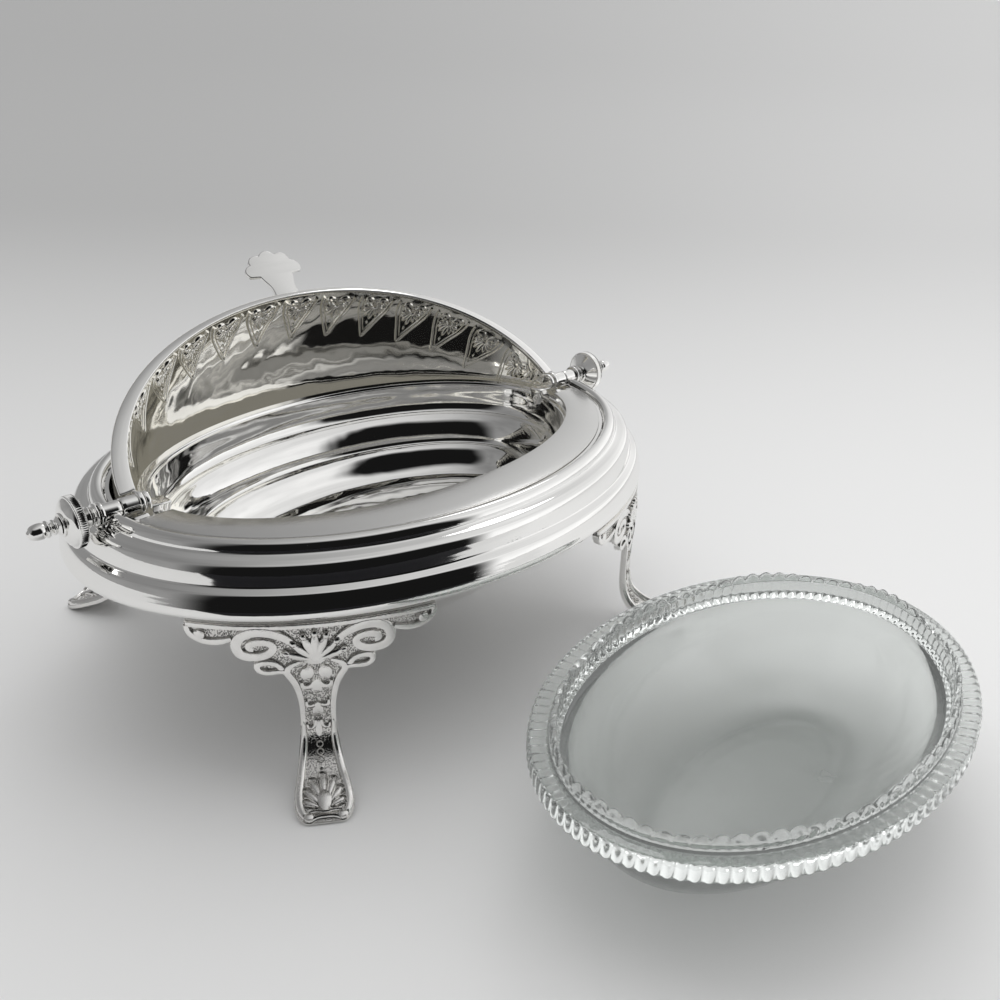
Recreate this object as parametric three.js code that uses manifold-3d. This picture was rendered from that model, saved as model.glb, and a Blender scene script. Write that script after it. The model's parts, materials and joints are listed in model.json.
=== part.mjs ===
// Revolving butter dish: an oval plated dish on four cast legs. Its domed lid turns about a
// lengthwise pivot line and swings down between the deep outer bowl and the fixed inner bowl.
// The pressed glass liner is lifted out and stands beside the dish.
// Millimetres, +Z up. X runs along the pivot line and -Y is the front, with the ledge.

import * as THREE from 'three';
import { mergeVertices } from 'three/addons/utils/BufferGeometryUtils.js';
import Module from 'manifold-3d';

const wasm = await Module();
wasm.setup();

// Fits

const joinGap = 0.3; // solder line or seat between two pieces
const turningGap = 0.8; // round the turning lid
const boreGap = 0.1; // round a pin in its bore
const cutOverrun = 2; // how far a cutting tool passes the faces it cuts

// Pivot line

const pivotHeight = 71;
const pinRadius = 1.2;
const boreRadius = pinRadius + boreGap;

// Lid, given closed with its rim plane through the pivot line

const lidOpenDegrees = 141.2;
const lidHalfLength = 89.5;
const lidHalfWidth = 61.5;
const lidRimEndWidth = 5;
const lidRimSideWidth = 2.1;
const lidRimBelow = 0.6;
const lidRimAbove = 0.9;
const lidSheet = 1;
const lidInsideHalfLength = lidHalfLength - lidRimEndWidth;
const lidInsideHalfWidth = lidHalfWidth - lidRimSideWidth;
const lidBarrelRadius = 2.75;
const lidBarrelRingRadius = 3.6;
const lidBarrelRingLength = 1.6;
const lidBarrelLength = 6.6;

// Thumbpiece on the middle of the lid's front rim

const thumbLength = 17.6;
const thumbBaseHalfWidth = 5;
const thumbNeckHalfWidth = 6.6;
const thumbHeadHalfWidth = 11.5;
const thumbThickness = 1.4;
const thumbLap = 0.8; // how far it lies over the rim
const thumbCurl = 4.5; // how far its tip curls over the border

// Body bowl, the moulded border round it and the ledge across its front half

const bowlWall = 0.9;
const bowlTopDrop = 1.7; // top edge below the pivot line
const bowlInsideHalfLength = lidHalfLength + turningGap;
const bowlInsideHalfWidth = lidHalfWidth + turningGap;
const bowlHalfLength = bowlInsideHalfLength + bowlWall;
const bowlHalfWidth = bowlInsideHalfWidth + bowlWall;

const mouldingWidth = 14.7;
const mouldingHeight = 19.8;
const mouldingRise = 0.2; // top of its bead above the pivot line
const mouldingSheet = 1;
const mouldingTop = pivotHeight + mouldingRise;
const mouldingBottom = mouldingTop - mouldingHeight;
const flangeHalfLength = bowlHalfLength + joinGap + mouldingWidth;
const flangeHalfWidth = bowlHalfWidth + joinGap + mouldingWidth;

const ledgeEndWidth = 10.3; // from the bowl's inside face at the ends
const ledgeSideWidth = 15.5; // and at the front
const ledgeInsideHalfLength = bowlInsideHalfLength - ledgeEndWidth;
const ledgeInsideHalfWidth = bowlInsideHalfWidth - ledgeSideWidth;
const ledgeDrop = 1; // top face below the pivot line
const ledgeThickness = 0.9;
const ledgeEndGap = 8; // from the pivot line to each end
const ledgeTop = pivotHeight - ledgeDrop;

// Inner bowl and the lugs that hang it on the pins

const innerRimEndGap = 2.2; // to the inside face of the lid
const innerRimSideGap = 6.9;
const innerRimHalfLength = lidInsideHalfLength - innerRimEndGap;
const innerRimHalfWidth = lidInsideHalfWidth - innerRimSideGap;
const innerRimBand = 3;
const innerRimDrop = 3.5;
const innerWallRun = 27.5; // from the band's inside edge in to the floor
const innerDepth = 31.5;
const innerSheet = 1;

const lugLap = 6.1; // how far it reaches in over the rim
const lugInnerEnd = innerRimHalfLength - lugLap;
const lugLength = 6.7;
const lugHalfWidth = 3;
const lugHeight = 7;
const lugRingRadius = 3.2;
const lugRingLength = 1.6;
const lugRingLap = 0.4; // how far the ring laps the lug
const lugRingStart = lugInnerEnd + lugLength - lugRingLap;
const lugRingEnd = lugRingStart + lugRingLength;

// Barrels on the lid, bearings on the body, collars, knobs and finials, each starting where the
// last one ends

const lidBarrelStart = lugRingEnd + joinGap;
const lidBarrelEnd = lidBarrelStart + lidBarrelLength;

const bearingRadius = 2.6;
const bearingLength = 6.5;
const bearingRingRadius = 3.5;
const bearingRingLength = 1.2;
const bearingFootHalfWidth = 2;
const bearingFootLength = 1.6;
const bearingFootTop = 1.5; // below the pivot line
const bearingStart = lidBarrelEnd + joinGap;
const bearingEnd = bearingStart + bearingLength;

const collarRadius = 3.3;
const collarWaistRadius = 2.4;
const collarLength = 2;
const collarStart = bearingEnd + joinGap;
const collarEnd = collarStart + collarLength;

const knobRadius = 7.65;
const knobEdgeWidth = 1.6;
const knobNeckRadius = 2.2;
const knobHubRadius = 3.1;
const knobLength = 8.4;
const knobStart = collarEnd + joinGap;
const knobEnd = knobStart + knobLength;

const finialLength = 9;
const finialRadius = 2.4;
const finialStart = knobEnd + joinGap;
const pinStart = lugRingStart;
const pinEnd = knobEnd - pinRadius;

// Legs

const legAnchorDegrees = 51; // place on the flange oval, from the X axis
const legBracketHalfWidth = 34.5;
const legFootReach = 22; // toe beyond the flange's edge
const legThickness = 2;
const legTop = mouldingBottom - joinGap;

// Glass liner and its place on the table beside the dish

const glassHalfLength = 78.2;
const glassHalfWidth = 54;
const glassFlangeHeight = 30; // underside of the flange above the table
const glassFlangeEdge = 5.2;
const glassFlangeRound = 1.4;
const glassCollarRise = 8;
const glassCollarInset = 5.8;
const glassCollarWall = 2.4;
const glassWallInset = 8;
const glassWall = 2.9;
const glassFloor = 3.8;
const glassBaseInset = 34;
const glassX = 21.7;
const glassY = -147.9;
const glassTurnDegrees = 5;

// How finely round shapes are divided

const ovalSteps = 40;
const domeSteps = 8;
const turnedSteps = 16;
const knobSteps = 24;
const legColumns = 6;

const silver = new THREE.MeshStandardMaterial({ color: 0xe6e4df, roughness: 0.07, metalness: 1 });
const castSilver = new THREE.MeshStandardMaterial({ color: 0xd6d4cd, roughness: 0.22, metalness: 1 });
const lidSilver = new THREE.MeshStandardMaterial({ color: 0xdfdccf, roughness: 0.12, metalness: 1 });
const glass = new THREE.MeshStandardMaterial({
  color: 0xc3cdc8, roughness: 0.06, metalness: 0, transparent: true, opacity: 0.45,
});

// Geometry helpers

function bare(geometry) {
  const plain = geometry.index ? geometry.clone() : mergeVertices(geometry);
  plain.deleteAttribute('normal');
  plain.deleteAttribute('uv');
  return mergeVertices(plain);
}

function solidOf(geometry) {
  const plain = bare(geometry);
  return new wasm.Manifold(new wasm.Mesh({
    numProp: 3,
    vertProperties: new Float32Array(plain.attributes.position.array),
    triVerts: new Uint32Array(plain.index.array),
  }));
}

function geometryOf(solid) {
  const mesh = solid.getMesh();
  const geometry = new THREE.BufferGeometry();
  geometry.setAttribute('position', new THREE.BufferAttribute(new Float32Array(mesh.vertProperties), 3));
  geometry.setIndex(new THREE.BufferAttribute(new Uint32Array(mesh.triVerts), 1));
  geometry.computeVertexNormals();
  return geometry;
}

function cut(geometry, tools) {
  return geometryOf(tools.reduce((left, tool) => left.subtract(solidOf(tool)), solidOf(geometry)));
}

function join(geometries) {
  const solids = geometries.map(solidOf);
  return geometryOf(solids.reduce((whole, solid) => whole.add(solid)));
}

// Turns the faces outwards where the outline ran the other way round
function facingOut(geometry) {
  const place = geometry.attributes.position;
  const index = geometry.index.array;
  const corner = [new THREE.Vector3(), new THREE.Vector3(), new THREE.Vector3()];
  let volume = 0;
  for (let i = 0; i < index.length; i += 3) {
    corner.forEach((point, k) => point.fromBufferAttribute(place, index[i + k]));
    volume += corner[0].dot(corner[1].cross(corner[2]));
  }
  if (volume < 0) {
    for (let i = 0; i < index.length; i += 3) {
      const first = index[i];
      index[i] = index[i + 1];
      index[i + 1] = first;
    }
  }
  geometry.computeVertexNormals();
  return geometry;
}

// An oval body: each outline point is [half length, half width, height]
function ovalBody(outline, steps = ovalSteps) {
  const profile = outline.map(([, halfWidth, z]) => new THREE.Vector2(halfWidth, z));
  const geometry = new THREE.LatheGeometry(profile, steps);
  const place = geometry.attributes.position;
  for (let i = 0; i <= steps; i += 1) {
    const angle = (i % steps) * 2 * Math.PI / steps;
    outline.forEach(([halfLength, halfWidth, z], j) => {
      const at = i * outline.length + j;
      place.setXYZ(at, halfLength * Math.cos(angle), halfWidth * Math.sin(angle), z);
    });
  }
  return facingOut(bare(geometry));
}

// An outline of even thickness, from an open path of [inset, height] points that runs outwards
// along its upper face
function thicken(path, thickness) {
  const normals = path.map((point, i) => {
    const before = path[Math.max(i - 1, 0)];
    const after = path[Math.min(i + 1, path.length - 1)];
    const run = new THREE.Vector2(after[0] - before[0], after[1] - before[1]).normalize();
    return [-run.y, run.x];
  });
  const far = path.map(([inset, z], i) => (
    [inset + normals[i][0] * thickness, z + normals[i][1] * thickness]));
  return [...path, ...far.reverse()];
}

// A piece turned about the pivot line: each outline point is [distance from the centre, radius]
function turned(outline, steps = turnedSteps) {
  const profile = outline.map(([x, radius]) => new THREE.Vector2(radius, x));
  const geometry = new THREE.LatheGeometry(profile, steps);
  geometry.rotateZ(-Math.PI / 2);
  return facingOut(bare(geometry));
}

// A ring round the pin: the outline's ends drop to the bore
function turnedRing(outline, steps = turnedSteps) {
  const first = outline[0][0];
  const last = outline[outline.length - 1][0];
  return turned([[first, boreRadius], ...outline, [last, boreRadius], [first, boreRadius]], steps);
}

function rod(start, end, radius) {
  return turned([[start, 0], [start, radius], [end, radius], [end, 0]]);
}

function ovalPoint(halfLength, halfWidth, angle) {
  return new THREE.Vector2(halfLength * Math.cos(angle), halfWidth * Math.sin(angle));
}

// A flat plate between two ovals, on one side of the pivot line and stopping short of it
function halfOvalPlate({ outer, inner, endGap, thickness, side }) {
  const arc = ([halfLength, halfWidth]) => {
    const start = Math.asin(endGap / halfWidth);
    const between = Array.from({ length: ovalSteps / 2 }, (_, i) => i * 2 * Math.PI / ovalSteps)
      .filter((angle) => angle > start && angle < Math.PI - start);
    return [start, ...between, Math.PI - start].map((angle) => (
      ovalPoint(halfLength, halfWidth * side, angle)));
  };
  const shape = new THREE.Shape([...arc(outer), ...arc(inner).reverse()]);
  return new THREE.ExtrudeGeometry(shape, { depth: thickness, bevelEnabled: false });
}

const root = new THREE.Group();
const dish = new THREE.Group();
root.add(dish);

function add(name, geometry, material, parent = dish) {
  const mesh = new THREE.Mesh(bare(geometry), material);
  mesh.name = name;
  parent.add(mesh);
  return mesh;
}

// Each pivot piece is drawn for the right end and turned half a circle for the left one
function addAtBothEnds(name, geometry, material, height = pivotHeight, parent = dish) {
  [['right', 0], ['left', Math.PI]].forEach(([end, turn]) => {
    const mesh = add(`${name}_${end}`, geometry, material, parent);
    mesh.rotation.z = turn;
    mesh.position.z = height;
  });
}

function atBothEnds(geometry) {
  return [0, Math.PI].map((turn) => geometry.clone().rotateZ(turn));
}

// Half of an ellipsoid of revolution about X, as [half length, half width, height] points
function domeArc(halfLength, halfWidth, edgeHeight, steps = domeSteps) {
  const edge = Math.asin(edgeHeight / halfWidth);
  return Array.from({ length: steps + 1 }, (_, i) => {
    const angle = edge + (Math.PI / 2 - edge) * i / steps;
    const share = i === steps ? 0 : Math.cos(angle);
    return [halfLength * share, halfWidth * share, halfWidth * Math.sin(angle)];
  });
}

// Body bowl: a deep oval shell that gives the lid room to turn

function bodyBowl() {
  const outside = domeArc(bowlHalfLength, bowlHalfWidth, bowlTopDrop);
  const inside = domeArc(bowlInsideHalfLength, bowlInsideHalfWidth, bowlTopDrop).reverse();
  const outline = [...outside, ...inside].map(([a, b, z]) => [a, b, pivotHeight - z]);
  const start = lidBarrelStart - cutOverrun;
  const notch = rod(start, bearingEnd, lidBarrelRadius + joinGap).translate(0, 0, pivotHeight);
  return cut(ovalBody([...outline, outline[0]]), atBothEnds(notch));
}

// Moulded border: bead, cavetto, shoulder, fillet and flange, as shares of its width in from the
// flange's edge and of its height
const mouldingShares = [
  [1, 0.915], [0.87, 1], [0.75, 0.96], [0.69, 0.87], [0.65, 0.77], [0.55, 0.67],
  [0.4, 0.595], [0.3, 0.5], [0.235, 0.395], [0.175, 0.37], [0.07, 0.31], [0.01, 0.2],
  [0.005, 0.1], [0.11, 0], [0.31, 0],
];
const mouldingPath = mouldingShares.map(([inset, rise]) => (
  [mouldingWidth * inset, mouldingBottom + mouldingHeight * rise]));

function rimMoulding() {
  const outline = thicken(mouldingPath, mouldingSheet).map(([inset, z]) => (
    [flangeHalfLength - inset, flangeHalfWidth - inset, z]));
  const saddle = rod(lidBarrelStart, bearingEnd + cutOverrun, bearingRadius + joinGap);
  return cut(ovalBody([...outline, outline[0]]), atBothEnds(saddle.translate(0, 0, pivotHeight)));
}

// Height of the moulding's face at a distance in from the flange's edge
function mouldingFace(inset) {
  const next = mouldingPath.findIndex(([at]) => at <= inset);
  const [x1, z1] = mouldingPath[next];
  const [x0, z0] = mouldingPath[next - 1];
  return z1 + (z0 - z1) * (inset - x1) / (x0 - x1);
}

function frontLedge() {
  return halfOvalPlate({
    outer: [bowlInsideHalfLength - joinGap, bowlInsideHalfWidth - joinGap],
    inner: [ledgeInsideHalfLength, ledgeInsideHalfWidth],
    endGap: ledgeEndGap,
    thickness: ledgeThickness,
    side: -1,
  }).translate(0, 0, ledgeTop - ledgeThickness);
}

// Inner bowl: a flat oval floor, a wall with a moulded step and a flat band, as shares of the
// wall's run inwards and of the depth, from the floor outwards
const innerShares = [
  [1, 1], [0.76, 0.95], [0.52, 0.83], [0.32, 0.65], [0.22, 0.48], [0.19, 0.34],
  [0.15, 0.3], [0.08, 0.27], [0.05, 0.14], [0.02, 0.03], [0, 0],
];

function lugPrism(growth) {
  const shape = new THREE.Shape([
    new THREE.Vector2(-lugHalfWidth - growth, growth),
    new THREE.Vector2(0, -lugHeight - 2 * growth),
    new THREE.Vector2(lugHalfWidth + growth, growth),
  ]);
  const depth = lugLength + 2 * growth;
  return new THREE.ExtrudeGeometry(shape, { depth, bevelEnabled: false })
    .rotateX(Math.PI / 2)
    .rotateZ(Math.PI / 2)
    .translate(lugInnerEnd - growth, 0, -ledgeDrop);
}

function innerBowl() {
  const rimTop = pivotHeight - innerRimDrop;
  const floorTop = rimTop - innerDepth;
  const path = innerShares.map(([run, fall]) => (
    [innerRimBand + innerWallRun * run, rimTop - innerDepth * fall]));
  const outline = thicken([...path, [0, rimTop]], innerSheet).map(([inset, z]) => (
    [innerRimHalfLength - inset, innerRimHalfWidth - inset, z]));
  const notch = lugPrism(joinGap).translate(0, 0, pivotHeight);
  const bowl = ovalBody([[0, 0, floorTop], ...outline, [0, 0, floorTop - innerSheet]]);
  return cut(bowl, atBothEnds(notch));
}

// Lug: a three-sided bar on the inner bowl's rim, ending in the ring that goes on the pin

function lug() {
  const ring = rod(lugRingStart, lugRingEnd, lugRingRadius);
  const bore = rod(lugRingStart - joinGap, lugRingEnd + cutOverrun, boreRadius);
  return cut(join([lugPrism(0), ring]), [bore]);
}

// Bearing: a barrel saddled in the bead, with an end ring and a foot on the moulding

function bearing() {
  const ringStart = bearingEnd - bearingRingLength;
  const barrel = rod(bearingStart, bearingEnd, bearingRadius);
  const ring = rod(ringStart, bearingEnd, bearingRingRadius);
  const footStart = bearingEnd - bearingFootLength;
  const seat = (x) => mouldingFace(flangeHalfLength - x) + joinGap - pivotHeight;
  const footShape = new THREE.Shape([
    new THREE.Vector2(footStart, seat(footStart)),
    new THREE.Vector2(bearingEnd, seat(bearingEnd)),
    new THREE.Vector2(bearingEnd, -bearingFootTop),
    new THREE.Vector2(footStart, -bearingFootTop),
  ]);
  const foot = new THREE.ExtrudeGeometry(footShape, { depth: 2 * bearingFootHalfWidth, bevelEnabled: false })
    .rotateX(Math.PI / 2)
    .translate(0, bearingFootHalfWidth, 0);
  const bore = rod(bearingStart - cutOverrun, bearingEnd + cutOverrun, boreRadius);
  return cut(join([barrel, ring, foot]), [bore]);
}

// Collar: two rings with a waist between them

function collar() {
  const shares = [[0, 1], [0.35, 1], [0.45, 0], [0.6, 0], [0.7, 1], [1, 1]];
  return turnedRing(shares.map(([along, out]) => [
    collarStart + collarLength * along,
    collarWaistRadius + (collarRadius - collarWaistRadius) * out,
  ]));
}

// Knob: neck, dished back, milled edge and domed face. The shares run along each stretch and from
// its smaller radius to its larger one
function knobDisc() {
  const edgePlaceShare = 0.55;
  const edgeStart = knobStart + (knobLength - knobEdgeWidth) * edgePlaceShare;
  const edgeEnd = edgeStart + knobEdgeWidth;
  const backShares = [[0, 0.12], [0.15, 0], [0.45, 0.02], [0.75, 0.25], [1, 1]];
  const faceShares = [[0, 1], [0.25, 0.74], [0.6, 0.36], [1, 0]];
  const back = backShares.map(([along, out]) => [
    knobStart + (edgeStart - knobStart) * along,
    knobNeckRadius + (knobRadius - knobNeckRadius) * out,
  ]);
  const face = faceShares.map(([along, out]) => [
    edgeEnd + (knobEnd - edgeEnd) * along,
    knobHubRadius + (knobRadius - knobHubRadius) * out,
  ]);
  return turnedRing([...back, ...face], knobSteps);
}

// Finial: cone, rings and acorn, as shares of its length and largest radius

function finial() {
  const shares = [
    [0, 0], [0, 1.2], [0.12, 0.65], [0.17, 0.9], [0.22, 0.9], [0.27, 0.55], [0.33, 0.55],
    [0.37, 1.04], [0.44, 1.04], [0.47, 0.9], [0.62, 1], [0.8, 0.88], [0.93, 0.55], [1, 0],
  ];
  return turned(shares.map(([along, out]) => [
    finialStart + finialLength * along,
    finialRadius * out,
  ]));
}

// Lid: thin dome, and a flat rim in two halves that run from barrel to barrel

function lidDome() {
  const edge = lidRimAbove + joinGap;
  const outside = domeArc(lidInsideHalfLength + lidSheet, lidInsideHalfWidth + lidSheet, edge);
  const inside = domeArc(lidInsideHalfLength, lidInsideHalfWidth, edge).reverse();
  const eye = rod(lidBarrelStart - cutOverrun, lidBarrelEnd, lidBarrelRingRadius + joinGap);
  return cut(ovalBody([...outside, ...inside, outside[0]]), atBothEnds(eye));
}

function lidRim(side) {
  return halfOvalPlate({
    outer: [lidHalfLength, lidHalfWidth],
    inner: [lidInsideHalfLength, lidInsideHalfWidth],
    endGap: lidBarrelRingRadius + joinGap,
    thickness: lidRimBelow + lidRimAbove,
    side,
  }).translate(0, 0, -lidRimBelow);
}

function lidBarrel() {
  const ringEnd = lidBarrelStart + lidBarrelRingLength;
  return turnedRing([
    [lidBarrelStart, lidBarrelRingRadius], [ringEnd, lidBarrelRingRadius],
    [ringEnd, lidBarrelRadius], [lidBarrelEnd, lidBarrelRadius],
  ]);
}

// Thumbpiece: a tapering stem and a lobed fan, drawn outwards along +Y
function thumbpiece() {
  const headShare = 0.56;
  const headStart = thumbLength * headShare;
  const notchShare = 0.16;
  const lobes = 5;
  const lobeSteps = 6;
  const steps = lobes * lobeSteps;
  const fan = Array.from({ length: steps + 1 }, (_, i) => {
    const angle = Math.PI * i / steps;
    const reach = 1 - notchShare * (1 - Math.abs(Math.sin(lobes * angle)));
    return new THREE.Vector2(
      thumbHeadHalfWidth * reach * Math.cos(angle),
      headStart + (thumbLength - headStart) * reach * Math.sin(angle),
    );
  });
  const geometry = bare(new THREE.ExtrudeGeometry(new THREE.Shape([
    new THREE.Vector2(-thumbBaseHalfWidth, 0),
    new THREE.Vector2(thumbBaseHalfWidth, 0),
    new THREE.Vector2(thumbNeckHalfWidth, headStart),
    ...fan,
    new THREE.Vector2(-thumbNeckHalfWidth, headStart),
  ]), { depth: thumbThickness, bevelEnabled: false }));
  const place = geometry.attributes.position;
  for (let i = 0; i < place.count; i += 1) {
    const along = Math.max(place.getY(i) / thumbLength - headShare, 0) / (1 - headShare);
    place.setZ(i, place.getZ(i) - thumbCurl * along ** 2);
  }
  return geometry.rotateZ(Math.PI).translate(0, thumbLap - lidHalfWidth, lidRimAbove + joinGap);
}

// Leg: a strap bent along a curve in its own upright plane, as shares of the foot's reach, of the
// leg's height and of the bracket's half width, from the top down to the toe
const legShares = [
  [-0.11, 1, 1], [-0.09, 0.959, 0.985], [-0.03, 0.9, 0.73], [0.03, 0.834, 0.68],
  [0.055, 0.787, 0.58], [0.045, 0.712, 0.46], [0.02, 0.677, 0.28], [-0.02, 0.59, 0.18],
  [-0.05, 0.479, 0.14], [-0.055, 0.401, 0.133], [-0.04, 0.323, 0.145], [0, 0.254, 0.16],
  [0.1, 0.186, 0.178], [0.3, 0.124, 0.203], [0.5, 0.088, 0.229], [0.68, 0.06, 0.241],
  [0.85, 0.032, 0.223], [0.96, 0.016, 0.165], [1, 0.012, 0.104],
];

// Distance out from a point to the flange's edge, along a direction
function reachToFlange(point, out) {
  const flange = new THREE.Vector2(flangeHalfLength, flangeHalfWidth);
  const p = point.clone().divide(flange);
  const d = out.clone().divide(flange);
  const half = p.dot(d);
  return (Math.sqrt(half * half - d.dot(d) * (p.dot(p) - 1)) - half) / d.dot(d);
}

function leg(anchorAngle) {
  const anchor = ovalPoint(flangeHalfLength, flangeHalfWidth, anchorAngle);
  const out = new THREE.Vector2(
    Math.cos(anchorAngle) / flangeHalfLength,
    Math.sin(anchorAngle) / flangeHalfWidth,
  ).normalize();
  const across = new THREE.Vector2(-out.y, out.x);
  const middle = new THREE.CatmullRomCurve3(legShares.map(([reach, height, width]) => (
    new THREE.Vector3(legFootReach * reach, legTop * height, legBracketHalfWidth * width))));
  const rows = legShares.length - 1;
  const geometry = bare(new THREE.BoxGeometry(1, 1, 1, legColumns, rows, 1));
  const place = geometry.attributes.position;
  const point = new THREE.Vector3();
  for (let i = 0; i < place.count; i += 1) {
    point.fromBufferAttribute(place, i);
    const along = Math.min(Math.max(0.5 - point.y, 0), 1);
    const [reach, height, halfWidth] = middle.getPoint(along).toArray();
    const tangent = middle.getTangent(along);
    const slope = Math.hypot(tangent.x, tangent.y);
    const lift = point.z * legThickness / slope;
    const at = anchor.clone().addScaledVector(across, 2 * point.x * halfWidth);
    at.addScaledVector(out, reachToFlange(at, out) + reach - tangent.y * lift);
    const z = Math.min(height + tangent.x * lift, legTop);
    place.setXYZ(i, at.x, at.y, Math.max(z, 0));
  }
  geometry.computeVertexNormals();
  return geometry;
}

// Glass liner: flange, collar and a plain bowl with a flat base, as [inset, height] points. The
// walls are shares of the run from the wall to the base and of the flange's height
function glassLiner() {
  const flangeTop = glassFlangeHeight + glassFlangeEdge;
  const collarTop = glassFlangeHeight + glassCollarRise;
  const collarInside = glassCollarInset + glassCollarWall;
  const shoulder = glassWallInset + glassWall;
  const wallRun = glassBaseInset - glassWallInset;
  const outsideShares = [[0.04, 0.86], [0.1, 0.7], [0.23, 0.53], [0.4, 0.37], [0.64, 0.19], [0.86, 0.06]];
  const insideShares = [[0.03, 0.88], [0.12, 0.68], [0.27, 0.47], [0.47, 0.27], [0.7, 0.1], [0.88, 0.01]];
  const outside = outsideShares.map(([run, height]) => (
    [glassWallInset + wallRun * run, glassFlangeHeight * height]));
  const depth = glassFlangeHeight - glassFloor;
  const inside = insideShares.map(([run, height]) => (
    [shoulder + wallRun * run, glassFloor + depth * height]));
  const path = [
    ...inside.reverse(),
    [shoulder, glassFlangeHeight],
    [collarInside, collarTop],
    [glassCollarInset, collarTop],
    [glassCollarInset, flangeTop],
    [glassFlangeRound, flangeTop],
    [0, flangeTop - glassFlangeRound],
    [0, glassFlangeHeight],
    [glassWallInset, glassFlangeHeight],
    ...outside,
    [glassBaseInset, 0],
  ];
  const outline = path.map(([inset, z]) => [glassHalfLength - inset, glassHalfWidth - inset, z]);
  return ovalBody([[0, 0, glassFloor], ...outline, [0, 0, 0]]);
}

// Assembly

add('body_bowl', bodyBowl(), silver);
add('rim_moulding', rimMoulding(), silver);
add('front_ledge', frontLedge(), silver);
add('inner_bowl', innerBowl(), silver);
addAtBothEnds('inner_bowl_lug', lug(), silver);
addAtBothEnds('pivot_bearing', bearing(), silver);
addAtBothEnds('pivot_collar', collar(), silver);
addAtBothEnds('pivot_pin', rod(pinStart, pinEnd, pinRadius), silver);
addAtBothEnds('knob_disc', knobDisc(), silver);
addAtBothEnds('knob_finial', finial(), silver);

const lid = new THREE.Group();
lid.position.z = pivotHeight;
lid.rotation.x = -THREE.MathUtils.degToRad(lidOpenDegrees);
dish.add(lid);
add('lid_dome', lidDome(), lidSilver, lid);
add('lid_rim_front', lidRim(-1), silver, lid);
add('lid_rim_back', lidRim(1), silver, lid);
addAtBothEnds('lid_barrel', lidBarrel(), silver, 0, lid);
add('lid_thumbpiece', thumbpiece(), castSilver, lid);

const legAnchor = THREE.MathUtils.degToRad(legAnchorDegrees);
add('leg_front_left', leg(Math.PI + legAnchor), castSilver);
add('leg_front_right', leg(-legAnchor), castSilver);
add('leg_back_left', leg(Math.PI - legAnchor), castSilver);
add('leg_back_right', leg(legAnchor), castSilver);

const liner = add('glass_liner', glassLiner(), glass);
liner.position.set(glassX, glassY, 0);
liner.rotation.z = THREE.MathUtils.degToRad(glassTurnDegrees);

// The origin is under the middle of everything, on the table
root.updateMatrixWorld(true);
const box = new THREE.Box3().setFromObject(root, true);
const middle = box.getCenter(new THREE.Vector3());
dish.position.set(-middle.x, -middle.y, -box.min.z);

export default root;
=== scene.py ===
import json
import math
from types import SimpleNamespace

import bmesh
import bpy
from bpy.props import FloatProperty, FloatVectorProperty, IntProperty, PointerProperty
from mathutils import Matrix, Vector


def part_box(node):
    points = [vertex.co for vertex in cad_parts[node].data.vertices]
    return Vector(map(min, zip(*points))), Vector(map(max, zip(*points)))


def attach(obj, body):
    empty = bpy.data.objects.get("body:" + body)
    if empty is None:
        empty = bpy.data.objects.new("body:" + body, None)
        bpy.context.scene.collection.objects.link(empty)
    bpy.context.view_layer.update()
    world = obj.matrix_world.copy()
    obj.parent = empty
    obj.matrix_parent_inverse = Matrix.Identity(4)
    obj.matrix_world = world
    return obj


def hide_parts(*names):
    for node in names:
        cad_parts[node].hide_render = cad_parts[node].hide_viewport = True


bl_info = {
    "name": "Revolving butter dish",
    "version": (1, 0, 0),
    "blender": (4, 5, 0),
    "location": "3D View > Sidebar > Butter dish",
    "description": "Builds the looks of an oval butter dish with a revolving lid and a glass liner",
    "category": "Object",
}

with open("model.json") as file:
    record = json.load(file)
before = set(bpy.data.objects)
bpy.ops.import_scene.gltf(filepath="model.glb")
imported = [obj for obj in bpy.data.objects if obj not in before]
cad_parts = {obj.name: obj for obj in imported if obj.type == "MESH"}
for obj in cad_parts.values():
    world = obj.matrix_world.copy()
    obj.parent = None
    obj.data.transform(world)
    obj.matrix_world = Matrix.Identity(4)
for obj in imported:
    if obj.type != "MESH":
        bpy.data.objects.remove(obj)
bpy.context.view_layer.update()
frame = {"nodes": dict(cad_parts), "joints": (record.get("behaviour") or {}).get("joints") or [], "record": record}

MM = 0.001
JOINTS = {joint["name"]: joint for joint in frame["joints"]}
LID_JOINT = JOINTS["lid_turn"]
PIVOT = Vector(LID_JOINT["pos_m"])
LID_OPEN = math.radians(LID_JOINT["range_deg"][1])
BODY_OF = {
    node: body
    for body, members in frame["record"]["behaviour"]["bodies"].items()
    for node in members
}
PIVOT_Z = PIVOT.z / MM
DISH_PLACE = Matrix.Translation((0, PIVOT.y, 0))
PIVOT_PLACE = Matrix.Translation(PIVOT)
LID_PLACE = PIVOT_PLACE @ Matrix.Rotation(-LID_OPEN, 4, "X")


# Settings


def size(name, description, default):
    """A length property, with its default given in millimetres."""
    return FloatProperty(
        name=name, description=description, default=default * MM, min=0, unit="LENGTH", precision=5
    )


def count(name, description, default):
    return IntProperty(name=name, description=description, default=default, min=1)


def share(name, description, default):
    return FloatProperty(name=name, description=description, default=default, min=0, max=1)


def tint(name, description, default):
    return FloatVectorProperty(
        name=name, description=description, default=default, size=3, min=0, max=1, subtype="COLOR"
    )


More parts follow.
